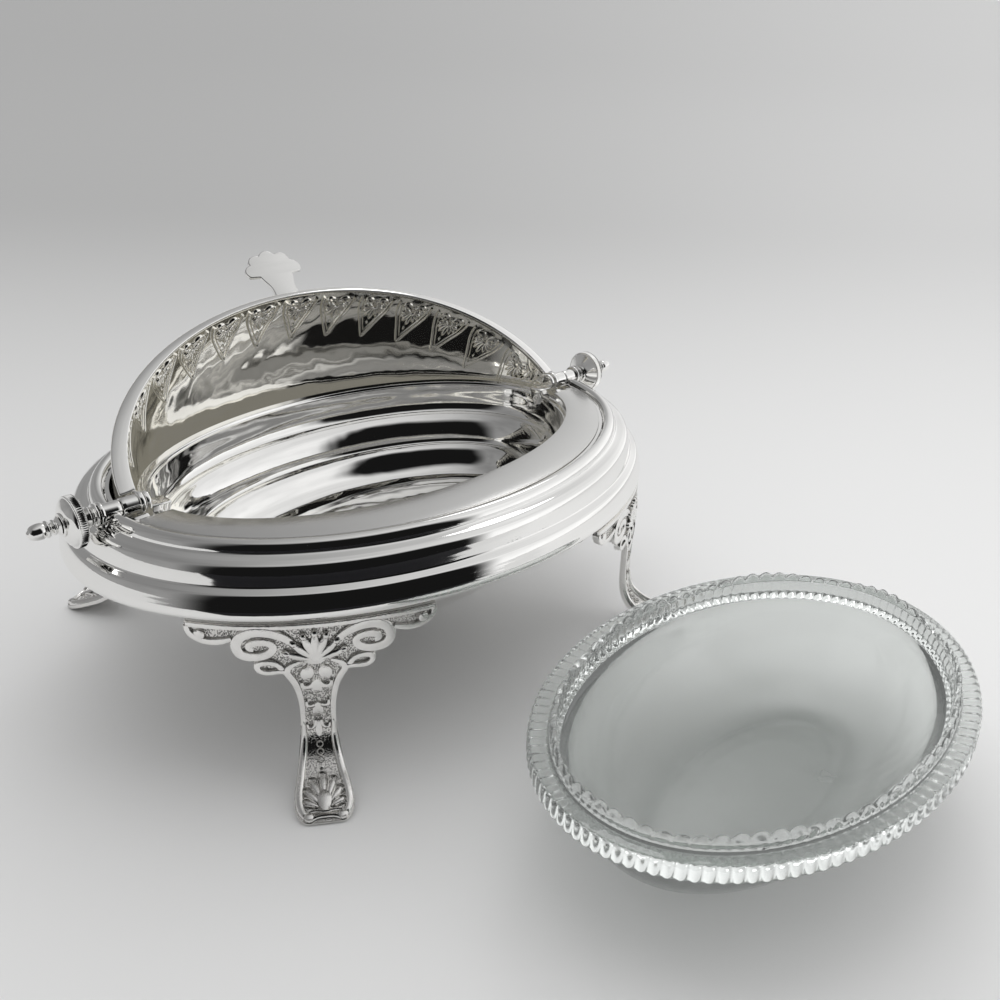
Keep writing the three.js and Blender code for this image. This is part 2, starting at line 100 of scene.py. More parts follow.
class FinishSettings(bpy.types.PropertyGroup):
    silver: tint("Silver", "Polished plate of the bowls and the border", (0.93, 0.925, 0.91))
    lid_silver: tint("Lid silver", "Slightly warm plate inside the lid", (0.93, 0.915, 0.865))
    cast_silver: tint("Cast silver", "Raised faces of the legs and the thumbpiece", (0.9, 0.89, 0.87))
    ground: tint("Stippled ground", "Sunk ground between the ornaments", (0.7, 0.69, 0.67))
    glass: tint("Glass", "Pressed glass of the liner", (0.79, 0.815, 0.8))
    polish: share("Polish", "Roughness of the mirror finish", 0.035)
    cast_roughness: share("Cast roughness", "Roughness of the raised cast faces", 0.1)


class BowlSettings(bpy.types.PropertyGroup):
    half_length: size("Bowl half length", "Outside of the body bowl, along the pivot line", 91.2)
    half_width: size("Bowl half width", "Outside of the body bowl, from front to back", 63.2)
    wall: size("Bowl wall", "Thickness of the body bowl", 0.9)
    top_drop: size("Bowl top drop", "Top edge of the body bowl below the pivot line", 1.7)
    flange_half_length: size("Flange half length", "Edge of the border, along the pivot line", 106.2)
    flange_half_width: size("Flange half width", "Edge of the border, from front to back", 78.2)
    moulding_sheet: size("Border sheet", "Thickness of the moulded border", 1)
    ledge_half_length: size("Ledge half length", "Inside edge of the ledge", 80)
    ledge_half_width: size("Ledge half width", "Inside edge of the ledge", 46.8)
    ledge_drop: size("Ledge drop", "Top of the ledge below the pivot line", 1)
    ledge_thickness: size("Ledge thickness", "Thickness of the ledge", 0.9)
    ledge_end_gap: size("Ledge end gap", "From the pivot line to each end of the ledge", 8)
    inner_half_length: size("Inner rim half length", "Rim of the inner bowl", 82.3)
    inner_half_width: size("Inner rim half width", "Rim of the inner bowl", 52.5)
    inner_drop: size("Inner rim drop", "Rim of the inner bowl below the pivot line", 3.5)
    inner_sheet: size("Inner sheet", "Thickness of the inner bowl", 1)


class LidSettings(bpy.types.PropertyGroup):
    half_length: size("Lid half length", "Outside of the lid's rim, along the pivot line", 89.5)
    half_width: size("Lid half width", "Outside of the lid's rim, from front to back", 61.5)
    rim_end_width: size("Rim width at the ends", "Flat rim, beside the pivots", 5)
    rim_side_width: size("Rim width at the front", "Flat rim, at the thumbpiece", 2.1)
    rim_below: size("Rim below the pivot line", "Underside of the closed rim", 0.6)
    rim_above: size("Rim above the pivot line", "Top of the closed rim", 0.9)
    sheet: size("Lid sheet", "Thickness of the dome", 1)
    pendants: count("Pendants", "Embossed pendants round the band", 29)
    pendant_width: size("Pendant width", "Across the top of one pendant", 12.6)
    pendant_depth: size("Pendant depth", "From the rim to a pendant's point", 20.5)
    relief: size("Relief", "Height of the embossed lines", 0.75)


class ThumbSettings(bpy.types.PropertyGroup):
    length: size("Thumbpiece length", "From its root to its tip", 19.8)
    base_half_width: size("Base half width", "At the lid's rim", 5)
    neck_half_width: size("Neck half width", "Under the fan", 6.6)
    head_half_width: size("Head half width", "Across the fan", 11.5)
    thickness: size("Thickness", "Of the casting", 1.4)
    lap: size("Lap", "How far it lies over the rim", 0.8)
    curl: size("Curl", "How far its tip curls over", 0.6)


class PivotSettings(bpy.types.PropertyGroup):
    knob_radius: size("Disc radius", "Milled disc of each knob", 7.65)
    milling: count("Milling", "Teeth round each disc", 72)
    tooth: size("Tooth depth", "Depth of the milling", 0.36)
    barrel_radius: size("Barrel radius", "Barrel on the lid", 2.75)
    bearing_radius: size("Bearing radius", "Bearing on the border", 2.6)


class LegSettings(bpy.types.PropertyGroup):
    anchor: FloatProperty(
        name="Leg direction", description="Place on the border's oval, from the pivot line",
        default=math.radians(51), subtype="ANGLE",
    )
    plate_back: size("Plate back", "Back face behind the leg's middle line", 1)
    plate_front: size("Ground level", "Stippled ground in front of the leg's middle line", 0.25)
    relief: size("Relief", "Raised faces above the ground", 0.85)


class GlassSettings(bpy.types.PropertyGroup):
    half_length: size("Flange half length", "Outside of the liner's fluted edge", 78.2)
    half_width: size("Flange half width", "Outside of the liner's fluted edge", 54)
    flange_height: size("Flange height", "Underside of the flange above the table", 30)
    flutes: count("Flutes", "Round the edge of the flange", 117)
    flute_depth: size("Flute depth", "Of the fluted edge", 0.4)
    scallops: count("Scallops", "Round the top of the collar", 78)
    scallop_depth: size("Scallop depth", "Of the collar's top edge", 1.7)


class StageSettings(bpy.types.PropertyGroup):
    floor: tint("Floor", "Pale table and backdrop", (0.72, 0.72, 0.718))
    lens: FloatProperty(
        name="Lens", description="Focal length for a 36 mm frame", default=39.985, unit="CAMERA"
    )
    floor_size: FloatProperty(
        name="Floor size", description="Side of the floor", default=40, unit="LENGTH"
    )


def in_mm(settings):
    """The lengths of a settings group in millimetres, and its other values as they are."""
    values = {}
    for key in settings.__annotations__:
        value = getattr(settings, key)
        unit = settings.bl_rna.properties[key].unit
        values[key] = value / MM if unit == "LENGTH" else value
    return SimpleNamespace(**values)


def settings_of(name):
    return in_mm(getattr(bpy.context.scene, name))


# Shader maths

BLACK = (0.0, 0.0, 0.0)

# Painted glow: the share of a surface's colour that it glows with, standing in for light that bounces for longer
# than a picture follows it
PAINTED_GLOW_SHARE = 0.09


class Number:
    """A value socket. Plain sums on it add Math nodes to its tree."""

    def __init__(self, nodes, socket):
        self.nodes = nodes
        self.socket = socket

    def maths(self, operation, *values):
        node = self.nodes.add("Math", {"operation": operation})
        for socket, value in zip(node.inputs, values):
            self.nodes.put(socket, value)
        return Number(self.nodes, node.outputs[0])

    def __add__(self, other):
        return self.maths("ADD", self, other)

    def __sub__(self, other):
        return self.maths("SUBTRACT", self, other)

    def __rsub__(self, other):
        return self.maths("SUBTRACT", other, self)

    def __mul__(self, other):
        return self.maths("MULTIPLY", self, other)

    def __truediv__(self, other):
        return self.maths("DIVIDE", self, other)

    def at_least(self, other):
        return self.maths("MAXIMUM", self, other)

    def between(self, low, high):
        """0 below low, 1 above high and smooth between them."""
        return self.nodes.number(
            "MapRange", {"interpolation_type": "SMOOTHSTEP"}, Value=self, From_Min=low, From_Max=high)

    __radd__ = __add__
    __rmul__ = __mul__


class Nodes:
    """The node tree of a material or of the world, with one way to add any node."""

    def __init__(self, tree):
        self.tree = tree

    def put(self, socket, value):
        if isinstance(value, Number):
            self.tree.links.new(value.socket, socket)
        elif isinstance(value, bpy.types.NodeSocket):
            self.tree.links.new(value, socket)
        elif isinstance(value, tuple) and len(value) == 3 and len(socket.default_value) == 4:
            socket.default_value = (*value, 1)
        else:
            socket.default_value = value

    def fill(self, node, **values):
        """Puts values or links in a node's sockets. An underscore stands for a space in a name."""
        for key, value in values.items():
            self.put(node.inputs[key.replace("_", " ")], value)

    def add(self, kind, settings=None, **values):
        node = self.tree.nodes.new("ShaderNode" + kind)
        for key, value in (settings or {}).items():
            setattr(node, key, value)
        self.fill(node, **values)
        return node

    def number(self, kind, settings=None, output=0, **values):
        return Number(self, self.add(kind, settings, **values).outputs[output])

    def mix(self, factor, first, second):
        node = self.add("Mix", {"data_type": "RGBA"})
        for place, value in ((0, factor), (6, first), (7, second)):
            self.put(node.inputs[place], value)
        return node.outputs[2]

    def noise(self, vector, scale, detail=2.0, roughness=0.5):
        return self.number(
            "TexNoise", Vector=vector, Scale=scale, Detail=detail, Roughness=roughness)


def shade(colour, factor):
    """The same colour, darker or lighter."""
    return tuple(c * factor for c in colour)


def new_material(name):
    material = bpy.data.materials.new(name)
    material.use_nodes = True
    nodes = Nodes(material.node_tree)
    surface = material.node_tree.nodes["Principled BSDF"]
    place = nodes.add("TexCoord").outputs["Object"]
    return material, nodes, surface, place


def bumped(nodes, surface, height, distance, strength=1.0):
    bump = nodes.add("Bump", Height=height, Strength=strength, Distance=distance)
    nodes.fill(surface, Normal=bump.outputs["Normal"])


def paint_glow_on_deep_rays(material, nodes, surface, colour, bounces):
    """Painted glow: a faint emission in the surface's own colour, for rays that have gone on past the given
    bounces.
    """
    lost = nodes.number("LightPath", output="Ray Depth").between(bounces + 0.5, bounces + 0.6)
    glow = nodes.mix(lost, BLACK, shade(colour, PAINTED_GLOW_SHARE))
    nodes.fill(surface, Emission_Color=glow, Emission_Strength=1.0)
    material.cycles.emission_sampling = "NONE"


def polished_silver(name, colour, roughness, waves, with_painted_glow=False):
    """Mirror plate: a slow unevenness from hand polishing, faint hairlines, a light bloom and, if asked, a painted
    glow for rays past two bounces.
    """
    material, nodes, surface, place = new_material(name)
    slow = nodes.noise(place, 38, 1.5)
    ripples = nodes.noise(place, 110, 1)
    brushed = nodes.add("Mapping", Vector=place, Scale=(260, 260, 2600), Rotation=(0.4, 0.2, 0.7))
    hairlines = nodes.noise(brushed.outputs[0], 1, 3, 0.6)
    bloom = nodes.noise(place, 60, 4, 0.6).between(0.45, 0.8)
    nodes.fill(
        surface,
        Base_Color=nodes.mix(bloom * 0.35, colour, shade(colour, 0.94)),
        Metallic=1.0,
        Roughness=roughness + bloom * 0.03 + hairlines.between(0.6, 0.8) * 0.03,
    )
    # Painted glow: the bowl and lid pieces emit faintly for rays past two bounces
    if with_painted_glow:
        paint_glow_on_deep_rays(material, nodes, surface, colour, 2)
    bumped(nodes, surface, slow * waves + ripples * (waves * 0.25) + hairlines * 0.003, MM)
    return material


def cast_faces(name, colour, roughness):
    """Raised faces of a plated casting: softly polished, with a little casting texture."""
    material, nodes, surface, place = new_material(name)
    grain = nodes.noise(place, 1500, 3, 0.6)
    worn = nodes.noise(place, 220, 3, 0.6).between(0.35, 0.75)
    nodes.fill(
        surface,
        Base_Color=nodes.mix(worn, colour, shade(colour, 0.92)),
        Metallic=1.0,
        Roughness=roughness + worn * 0.12,
    )
    bumped(nodes, surface, grain, 0.1 * MM, 0.5)
    return material


def stippled_ground(name, colour):
    """Sunk ground of a casting: punch marks all over, dark in them, and shallow near the toe."""
    material, nodes, surface, place = new_material(name)
    dimple = nodes.number("TexVoronoi", Vector=place, Scale=2400.0).between(0.1, 0.6)
    height = nodes.number("SeparateXYZ", output=2, Vector=place)
    upper = height.between(12 * MM, 24 * MM) * 0.75 + 0.25
    nodes.fill(
        surface,
        Base_Color=nodes.mix(dimple, shade(colour, 0.6), shade(colour, 1.1)),
        Metallic=1.0,
        Roughness=upper * 0.2 + 0.04,
    )
    bumped(nodes, surface, dimple * upper, 0.16 * MM, 0.9)
    return material


def pressed_glass(name, colour, roughness):
    """Clear pressed glass, grey-green: a faint waviness, a little haze, wear near the foot, and a painted glow for
    rays past four bounces.
    """
    material, nodes, surface, place = new_material(name)
    ripple = nodes.noise(place, 55, 2)
    haze = nodes.noise(place, 26, 4, 0.6).between(0.5, 0.85)
    height = nodes.number("SeparateXYZ", output=2, Vector=place)
    worn = 1 - height.between(2 * MM, 22 * MM)
    nodes.fill(
        surface,
        Base_Color=colour,
        Roughness=roughness + haze * 0.1 + worn * 0.2,
        Transmission_Weight=1.0,
        IOR=1.5,
    )
    # Painted glow for rays past four bounces
    paint_glow_on_deep_rays(material, nodes, surface, colour, 4)
    bumped(nodes, surface, ripple, 0.4 * MM, 0.6)
    return material


FINISHES = {}


def finish(name):
    """The object's finishes, each made when the first piece asks for it."""
    if name not in FINISHES:
        s = bpy.context.scene.dish_finish
        silver, glass = tuple(s.silver), tuple(s.glass)
        make, *values = {
            "silver": (polished_silver, "polished_silver", silver, s.polish, 0.03),
            # The bowl and the lid get a painted glow for deep rays
            "bowl": (polished_silver, "bowl_silver", silver, s.polish, 0.4, True),
            "lid": (polished_silver, "lid_silver", tuple(s.lid_silver), s.polish, 0.8, True),
            "satin": (polished_silver, "satin_silver", shade(silver, 0.86), 0.2, 0.05),
            "turned": (polished_silver, "turned_silver", silver, s.polish * 1.5, 0.01),
            "cast": (cast_faces, "cast_silver", tuple(s.cast_silver), s.cast_roughness),
            "ground": (stippled_ground, "cast_ground", tuple(s.ground)),
            "glass": (pressed_glass, "pressed_glass", glass, 0.02),
            # Frosted by wear, and tinted darker as painted shade on the glass's edges
            "worn_glass": (pressed_glass, "worn_glass", shade(glass, 0.82), 0.14),
        }[name]
        FINISHES[name] = make(*values)
    return FINISHES[name]


# Shapes, in millimetres until a piece is finished

# Points nearer than this are one point
MERGE = 0.001

# Edges that bend more than this are sharp
SHARP = math.radians(60)

# Room that is left between pieces
CLEARANCE = 0.3


def spread(start, end, steps):
    """Even values from start to end, both of them included."""
    return [start + (end - start) * i / steps for i in range(steps + 1)]


def smooth_line(points, steps=6):
    """More points along a smooth line through the given ones."""
    ends = [points[0], *points, points[-1]]
    line = []
    for a, b, c, d in zip(ends, ends[1:], ends[2:], ends[3:]):
        for i in range(steps):
            t = i / steps
            line.append(tuple(
                0.5 * (2 * q + (r - p) * t + (2 * p - 5 * q + 4 * r - s) * t ** 2
                       + (3 * q - p - 3 * r + s) * t ** 3)
                for p, q, r, s in zip(a, b, c, d)))
    line.append(tuple(points[-1]))
    return line


def joined(first, *strokes, steps=6):
    """One line of smooth strokes. Each starts where the last one ends, with a corner there."""
    line = smooth_line(first, steps)
    for stroke in strokes:
        line += smooth_line([line[-1], *stroke], steps)[1:]
    return line


def sides(line):
    """The direction square to an open line of (x, y) points, at each of them."""
    found = []
    for i, _ in enumerate(line):
        before = line[max(i - 1, 0)]
        after = line[min(i + 1, len(line) - 1)]
        run = (Vector(after[:2]) - Vector(before[:2])).normalized()
        found.append(Vector((-run.y, run.x)))
    return found


def sheet_section(line, thickness):
    """The closed section of a sheet under an open line of (inset, z) points that runs outwards."""
    far = [(x + n.x * thickness, z + n.y * thickness) for (x, z), n in zip(line, sides(line))]
    return [*line, *reversed(far)]


def outward(bm):
    bmesh.ops.recalc_face_normals(bm, faces=bm.faces)


def verts_of(made):
    return [item for item in made["geom"] if isinstance(item, bmesh.types.BMVert)]


def extrude(bm, vec):
    """Draws all faces out into a solid."""
    bmesh.ops.translate(
        bm, vec=vec, verts=verts_of(bmesh.ops.extrude_face_region(bm, geom=bm.faces[:])))
    outward(bm)


def soften(bm, offset, segments=3, clamp=False):
    """Rounds the sharp edges."""
    sharp = [edge for edge in bm.edges if edge.calc_face_angle(0) > SHARP]
    bmesh.ops.bevel(
        bm, geom=sharp, offset=offset, affect="EDGES", segments=segments, profile=0.5, material=-1,
        clamp_overlap=clamp,
    )


def mesh_from(bm, name):
    """The bmesh as a mesh. The bmesh is freed."""
    mesh = bpy.data.meshes.new(name)
    bm.to_mesh(mesh)
    bm.free()
    return mesh


def add_object(name, data):
    made = bpy.data.objects.new(name, data)
    bpy.context.scene.collection.objects.link(made)
    return made


def spin(bm, outline, steps, closed=False):
    """Turns an outline of (radius, z) points about Z: an eighth first, then copies of it."""
    verts = [bm.verts.new((radius, 0, z)) for radius, z in outline]
    edges = [bm.edges.new(pair) for pair in zip(verts, verts[1:])]
    if closed:
        edges.append(bm.edges.new((verts[-1], verts[0])))
    bmesh.ops.spin(
        bm, geom=verts + edges, cent=(0, 0, 0), axis=(0, 0, 1), angle=math.tau / 8, steps=steps // 8)
    for parts in (8, 4, 2):
        copy = bmesh.ops.duplicate(bm, geom=bm.verts[:] + bm.edges[:] + bm.faces[:])
        turn = Matrix.Rotation(math.tau / parts, 3, "Z")
        bmesh.ops.rotate(bm, cent=(0, 0, 0), matrix=turn, verts=verts_of(copy))
    bmesh.ops.remove_doubles(bm, verts=bm.verts, dist=MERGE)
    outward(bm)


def spin_oval(outline, half_length, half_width, steps, closed=False):
    """An oval ring or shell: each outline point is (inset, z), the same inset all the way round."""
    bm = bmesh.new()
    spin(bm, [(half_width - inset, z) for inset, z in outline], steps, closed)
    for vert in bm.verts:
        radius = math.hypot(vert.co.x, vert.co.y)
        if radius > 0.01:
            vert.co.x += (half_length - half_width) * min(radius / 20, 1) * vert.co.x / radius
    return bm


def finish_piece(
    name, bm, finishes, nodes, place=DISH_PLACE, crease=35, body=None
):
    """Makes the piece, in metres and in the row frame, and ties it to the nodes it replaces."""
    bmesh.ops.transform(bm, matrix=place @ Matrix.Scale(MM, 4), verts=bm.verts)
    for face in bm.faces:
        face.smooth = True
    for edge in bm.edges:
        edge.smooth = edge.calc_face_angle(0) < math.radians(crease)
    piece = add_object(name, mesh_from(bm, name))
    for each in finishes:
        piece.data.materials.append(finish(each))
    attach(piece, body or BODY_OF[nodes[0]])
    if nodes:
        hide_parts(*nodes)


def oval_arc(half_length, half_width, end_gap, side, steps):
    """Points of half an oval, which starts and ends end_gap away from the pivot line."""
    start = math.asin(end_gap / half_width)
    return [(half_length * math.cos(a), side * half_width * math.sin(a))
            for a in spread(start, math.pi - start, steps)]


def half_ring(outer, inner, end_gap, side, top, thickness, edge, steps=160):
    """A flat crescent between two ovals, with softened edges."""
    bm = bmesh.new()
    edges = []
    for half_length, half_width in (outer, inner):
        arc = [bm.verts.new((x, y, top))
               for x, y in oval_arc(half_length, half_width, end_gap, side, steps)]
        edges += [bm.edges.new(pair) for pair in zip(arc, arc[1:])]
    bmesh.ops.bridge_loops(bm, edges=edges)
    extrude(bm, (0, 0, -thickness))
    soften(bm, edge, clamp=True)
    return bm


# Radius that the body bowl leaves free for the bearings
BEARING_ROOM = 3.05


def saddle(bm, radius, start, end):
    """Lowers what would run through a rod on the pivot line, at both ends of the dish."""
    for vert in bm.verts:
        x, y, z = vert.co
        if start < abs(x) < end and abs(y) < radius and z > PIVOT_Z - 2 * radius:
            vert.co.z = min(z, PIVOT_Z - math.sqrt(radius ** 2 - y ** 2))


# Border profile, as (inset from the flange's edge, height) in millimetres: bead, hollow and
# shoulder, fillet, and the rolled flange
BORDER = joined(
    [(14.7, 69.2), (14.1, 70.6), (12.9, 71.2), (11.6, 70.9), (10.75, 70.1), (10.3, 69.1),
     (10.1, 68.2)],
    [(9.6, 67.75), (8.6, 67.45), (7.4, 67.15), (6.4, 66.7)],
    [(5.75, 66.1), (5.25, 64.9), (4.85, 63.5), (4.55, 62.1), (4.3, 60.9)],
    [(4.0, 60.45), (3.2, 60.1), (2.3, 59.75)],
    [(1.8, 59.3), (1.25, 58.2), (0.85, 57.0), (0.5, 55.9), (0.2, 54.9), (0.05, 53.9),
     (0.1, 53.0), (0.5, 52.2), (1.3, 51.7)],
    [(2.0, 51.45), (4.6, 51.4)],
)

# Inner bowl, as (inset from its rim, height below the rim): flat band, a small step, an upright
# wall, the seam, a rounded step, a second step and the cup
INNER = joined(
    [(0.0, 0.6), (0.15, 0.15), (0.6, 0.0)],
    [(2.7, 0.0)],
    [(3.15, 0.25), (3.35, 0.8)],
    [(3.6, 1.1), (4.0, 1.25)],
    [(4.3, 3.6), (4.6, 6.6), (5.1, 9.0), (6.2, 10.7), (7.8, 11.5)],
    [(8.3, 11.6), (8.7, 11.9)],
    [(10.4, 13.2), (12.0, 15.2), (13.2, 17.6), (13.9, 19.8)],
    [(14.5, 20.9), (15.8, 21.4)],
    [(17.4, 22.4), (19.2, 24.6), (21.0, 27.4), (23.6, 29.6), (27.0, 30.9), (30.5, 31.5)],
)


def meridian(radius, edge, steps, base=0, up=1):
    """(radius, z) points of a dome, or of a bowl if up is -1, from its edge to its middle."""
    points = [(radius * math.cos(a), base + up * radius * math.sin(a))
              for a in spread(edge, math.pi / 2, steps)]
    return [*points[:-1], (0, base + up * radius)]


def body_bowl():
    s = settings_of("dish_bowl")
    edge = math.asin(s.top_drop / s.half_width)
    outside = meridian(s.half_width, edge, 40, base=PIVOT_Z, up=-1)
    inside = meridian(s.half_width - s.wall, edge, 40, base=PIVOT_Z, up=-1)
    bm = bmesh.new()
    spin(bm, [*outside[::-1], *inside], steps=240)
    bmesh.ops.scale(bm, vec=(s.half_length / s.half_width, 1, 1), verts=bm.verts)
    saddle(bm, BEARING_ROOM, start=80, end=100)
    finish_piece("body_bowl_shell", bm, ["silver"], ["body_bowl"])


def rim_border():
    s = settings_of("dish_bowl")
    section = sheet_section(BORDER, s.moulding_sheet)
    bm = spin_oval(section, s.flange_half_length, s.flange_half_width, steps=400, closed=True)
    saddle(bm, settings_of("dish_pivots").bearing_radius + CLEARANCE, start=84, end=101)
    finish_piece(
        "border_moulding", bm, ["silver"], ["rim_moulding"], crease=50)


def front_ledge():
    s = settings_of("dish_bowl")
    gap = s.wall + CLEARANCE
    bm = half_ring(
        (s.half_length - gap, s.half_width - gap), (s.ledge_half_length, s.ledge_half_width),
        s.ledge_end_gap, -1, PIVOT_Z - s.ledge_drop, s.ledge_thickness, edge=0.18,
    )
    finish_piece("ledge_plate", bm, ["satin"], ["front_ledge"])


def inner_bowl():
    s = settings_of("dish_bowl")
    rim = PIVOT_Z - s.inner_drop
    section = sheet_section([(inset, rim - fall) for inset, fall in INNER[::-1]], s.inner_sheet)
    floor = section[0][1]
    middle = s.inner_half_width
    outline = [(middle, floor), *section, (middle, floor - s.inner_sheet)]
    bm = spin_oval(outline, s.inner_half_length, s.inner_half_width, steps=360)
    finish_piece("inner_bowl_shell", bm, ["bowl"], ["inner_bowl"], crease=50)


# Pivots. Each is drawn for the right end, along +X from the middle of the dish

# Radii of the pin, of the bearing's end ring and of the lid barrel's ring
PIN = 1.4
END_RING = 3.5
BARREL_RING = 3.6


def turned(line, steps):
    """A solid turned about Z, from a line of (z, radius) points."""
    bm = bmesh.new()
    spin(bm, [(0, line[0][0]), *[(radius, z) for z, radius in line], (0, line[-1][0])], steps)
    return bm


def along_pivot(bm):
    """Lays a shape that stands along Z on the pivot line."""
    turn = Matrix.Rotation(math.pi / 2, 3, "Y")
    bmesh.ops.rotate(bm, cent=(0, 0, 0), matrix=turn, verts=bm.verts)
    return bm


def turned_piece(*strokes):
    """A solid turned about the pivot line, from strokes of (x, radius) points."""
    return along_pivot(turned(joined(*strokes, steps=4), 64))


def add_part(bm, other):
    """Puts the shape of another bmesh into this one."""
    mesh = mesh_from(other, "part")
    bm.from_mesh(mesh)
    bpy.data.meshes.remove(mesh)


def both_ends(name, make, node, finishes=("turned",), base=PIVOT_PLACE):
    for end, turn in (("right", 0), ("left", math.pi)):
        place = base @ Matrix.Rotation(turn, 4, "Z")
        finish_piece(f"{name}_{end}", make(), finishes, [f"{node}_{end}"], place)


def finial():
    return turned_piece(
        [(109.1, 2.85), (109.5, 2.35), (110.0, 1.75)],
        [(110.2, 2.1), (110.55, 2.25), (110.9, 2.1), (111.1, 1.6)],
        [(111.4, 1.3), (111.8, 1.5)],
        [(111.95, 2.2), (112.35, 2.5), (112.8, 2.35), (113.0, 2.05)],
        [(113.7, 2.3), (114.7, 2.38), (115.8, 2.25), (116.7, 1.95), (117.3, 1.45)],
        [(117.6, 0.95), (117.95, 0.55), (118.1, 0.15)],
    )


def knob_disc():
    s = settings_of("dish_pivots")
    rim = s.knob_radius
    back = joined(
        [(100.4, 2.9), (100.6, 3.1), (100.85, 3.05), (101.0, 2.8)],
        [(101.6, 3.2), (102.2, 4.3), (102.8, 5.7), (103.2, 6.7), (103.4, rim - 0.5)],
        [(103.45, rim - 0.15), (103.6, rim - 0.02), (103.75, rim - 0.25)],
    )
    milled = [(103.85, rim), (105.55, rim)]
    face = joined(
        [(105.65, rim - 0.25), (105.8, rim - 0.02), (106.0, rim - 0.15), (106.1, rim - 0.5)],
        [(106.8, 6.55), (107.45, 5.5), (107.95, 4.4), (108.2, 3.4)],
        [(108.35, 3.55), (108.6, 3.5), (108.8, 3.1)],
    )
    bm = turned([*back, *milled, *face], s.milling * 4)
    for vert in bm.verts:
        if 103.8 < vert.co.z < 105.6 and vert.co.xy.length > rim - 0.05:
            angle = math.atan2(vert.co.y, vert.co.x)
            dip = s.tooth * (0.5 + 0.5 * math.cos(s.milling * angle))
            vert.co.x -= dip * math.cos(angle)
            vert.co.y -= dip * math.sin(angle)
    return along_pivot(bm)


def collar():
    return turned_piece(
        [(98.1, 2.5), (98.15, 3.1), (98.5, 3.45), (98.95, 3.3), (99.25, 2.75)],
        [(99.45, 2.5), (99.65, 2.6)],
        [(99.8, 2.85), (99.98, 2.8), (100.1, 2.5)],
    )


def bearing():
    radius = settings_of("dish_pivots").bearing_radius
    half_way = (radius + END_RING) / 2
    bm = turned_piece(
        [(91.3, PIN), (91.3, radius - 0.25)],
        [(91.38, radius - 0.07), (91.6, radius)],
        [(96.5, radius)],
        [(96.5312, half_way), (96.656, END_RING - 0.12), (97.15, END_RING),
         (97.644, END_RING - 0.12), (97.7688, half_way), (97.8, radius)],
        [(97.8, PIN)],
    )
    foot = bmesh.new()
    bmesh.ops.create_uvsphere(foot, u_segments=32, v_segments=20, radius=1)
    bmesh.ops.scale(foot, vec=(1.25, 2.1, 2.5), verts=foot.verts)
    bmesh.ops.translate(foot, vec=(97.0, 0, -3.7), verts=foot.verts)
    add_part(bm, foot)
    return bm


def lid_barrel():
    radius = settings_of("dish_pivots").barrel_radius
    return turned_piece(
        [(84.4, PIN), (84.4, 3.3)],
        [(84.5, 3.5), (84.75, BARREL_RING), (85.4, BARREL_RING), (85.8, 3.5), (86.0, 3.15)],
        [(86.05, radius)],
        [(90.75, radius)],
        [(90.95, radius - 0.12), (91.0, radius - 0.4)],
        [(91.0, PIN)],
    )


def lug():
    s = settings_of("dish_bowl")
    bm = bmesh.new()
    top = -s.ledge_drop
    start = s.inner_half_length - 6.1
    corners = [(start, -3, top), (start, 3, top), (start, 0, top - 7)]
    bm.faces.new([bm.verts.new(corner) for corner in corners])
    extrude(bm, (6.5, 0, 0))
    soften(bm, 0.55, segments=4)
    add_part(bm, turned_piece(
        [(82.4, 1.3), (82.5, 2.8), (82.75, 3.15), (83.3, 3.2), (83.85, 3.15), (84.05, 2.9)],
        [(84.1, 1.3)],
    ))
    return bm


# Lid

# How much thinner the lid's flat rim is at its outer edge than at its inner one
RIM_TAPER = 1

# Where the first pendant's middle lies from the right pivot, as a share of a pendant
FIRST_PENDANT = 0.07

# Within this much of the pivot line, the band is left out beside the barrels
BAND_GAP = 4.4


def lid_dome():
    s = settings_of("dish_lid")
    inner_length = s.half_length - s.rim_end_width
    inner_width = s.half_width - s.rim_side_width
    edge = math.asin((s.rim_above + 0.1) / inner_width)
    inside = meridian(inner_width, edge, 56)
    outside = meridian(inner_width + s.sheet, edge, 56)
    bm = bmesh.new()
    spin(bm, [*inside[::-1], *outside], steps=320)
    bmesh.ops.scale(bm, vec=((inner_length + 0.5) / (inner_width + 0.5), 1, 1), verts=bm.verts)
    clear = BARREL_RING + 0.25
    for vert in bm.verts:
        x, y, z = vert.co
        if 80 < abs(x) and abs(y) < clear:
            vert.co.z = max(z, math.sqrt(clear ** 2 - y ** 2))
    finish_piece("lid_shell", bm, ["lid"], ["lid_dome"], LID_PLACE)


def lid_rims():
    s = settings_of("dish_lid")
    outer = (s.half_length, s.half_width)
    inner = (s.half_length - s.rim_end_width, s.half_width - s.rim_side_width)
    thickness = s.rim_below + s.rim_above
    for side, node in ((-1, "lid_rim_front"), (1, "lid_rim_back")):
        bm = half_ring(
            outer, inner, BARREL_RING + CLEARANCE, side, s.rim_above, thickness, edge=0.4)
        for vert in bm.verts:
            if vert.co.z < 0:
                flat = vert.co.xy.length
                near, far = (
                    flat / math.hypot(vert.co.x / x, vert.co.y / y) for x, y in (inner, outer))
                vert.co.z += RIM_TAPER * (flat - near) / (far - near)
        finish_piece(node.replace("rim", "edge"), bm, ["silver"], [node], LID_PLACE)


# Raised ornament, drawn on a flat pattern as (across, along, height) and then laid on its surface

STRAP = [(-1, 0), (-1, 0.8), (-0.93, 0.96), (-0.8, 1), (0.8, 1), (0.93, 0.96), (1, 0.8), (1, 0)]
BEAD = [(-1, 0), (-0.85, 0.55), (-0.5, 0.88), (0, 1), (0.5, 0.88), (0.85, 0.55), (1, 0)]


def sweep(bm, rings):
    """A closed bar through rings of points: its end face is extruded from ring to ring."""
    first = [bm.verts.new(point) for point in rings[0]]
    face = bm.faces.new(first)
    for ring in rings[1:]:
        face = bmesh.ops.extrude_discrete_faces(bm, faces=[face])["faces"][0]
        for vert, point in zip(face.verts, ring):
            vert.co = point
    bm.faces.new(reversed(first))


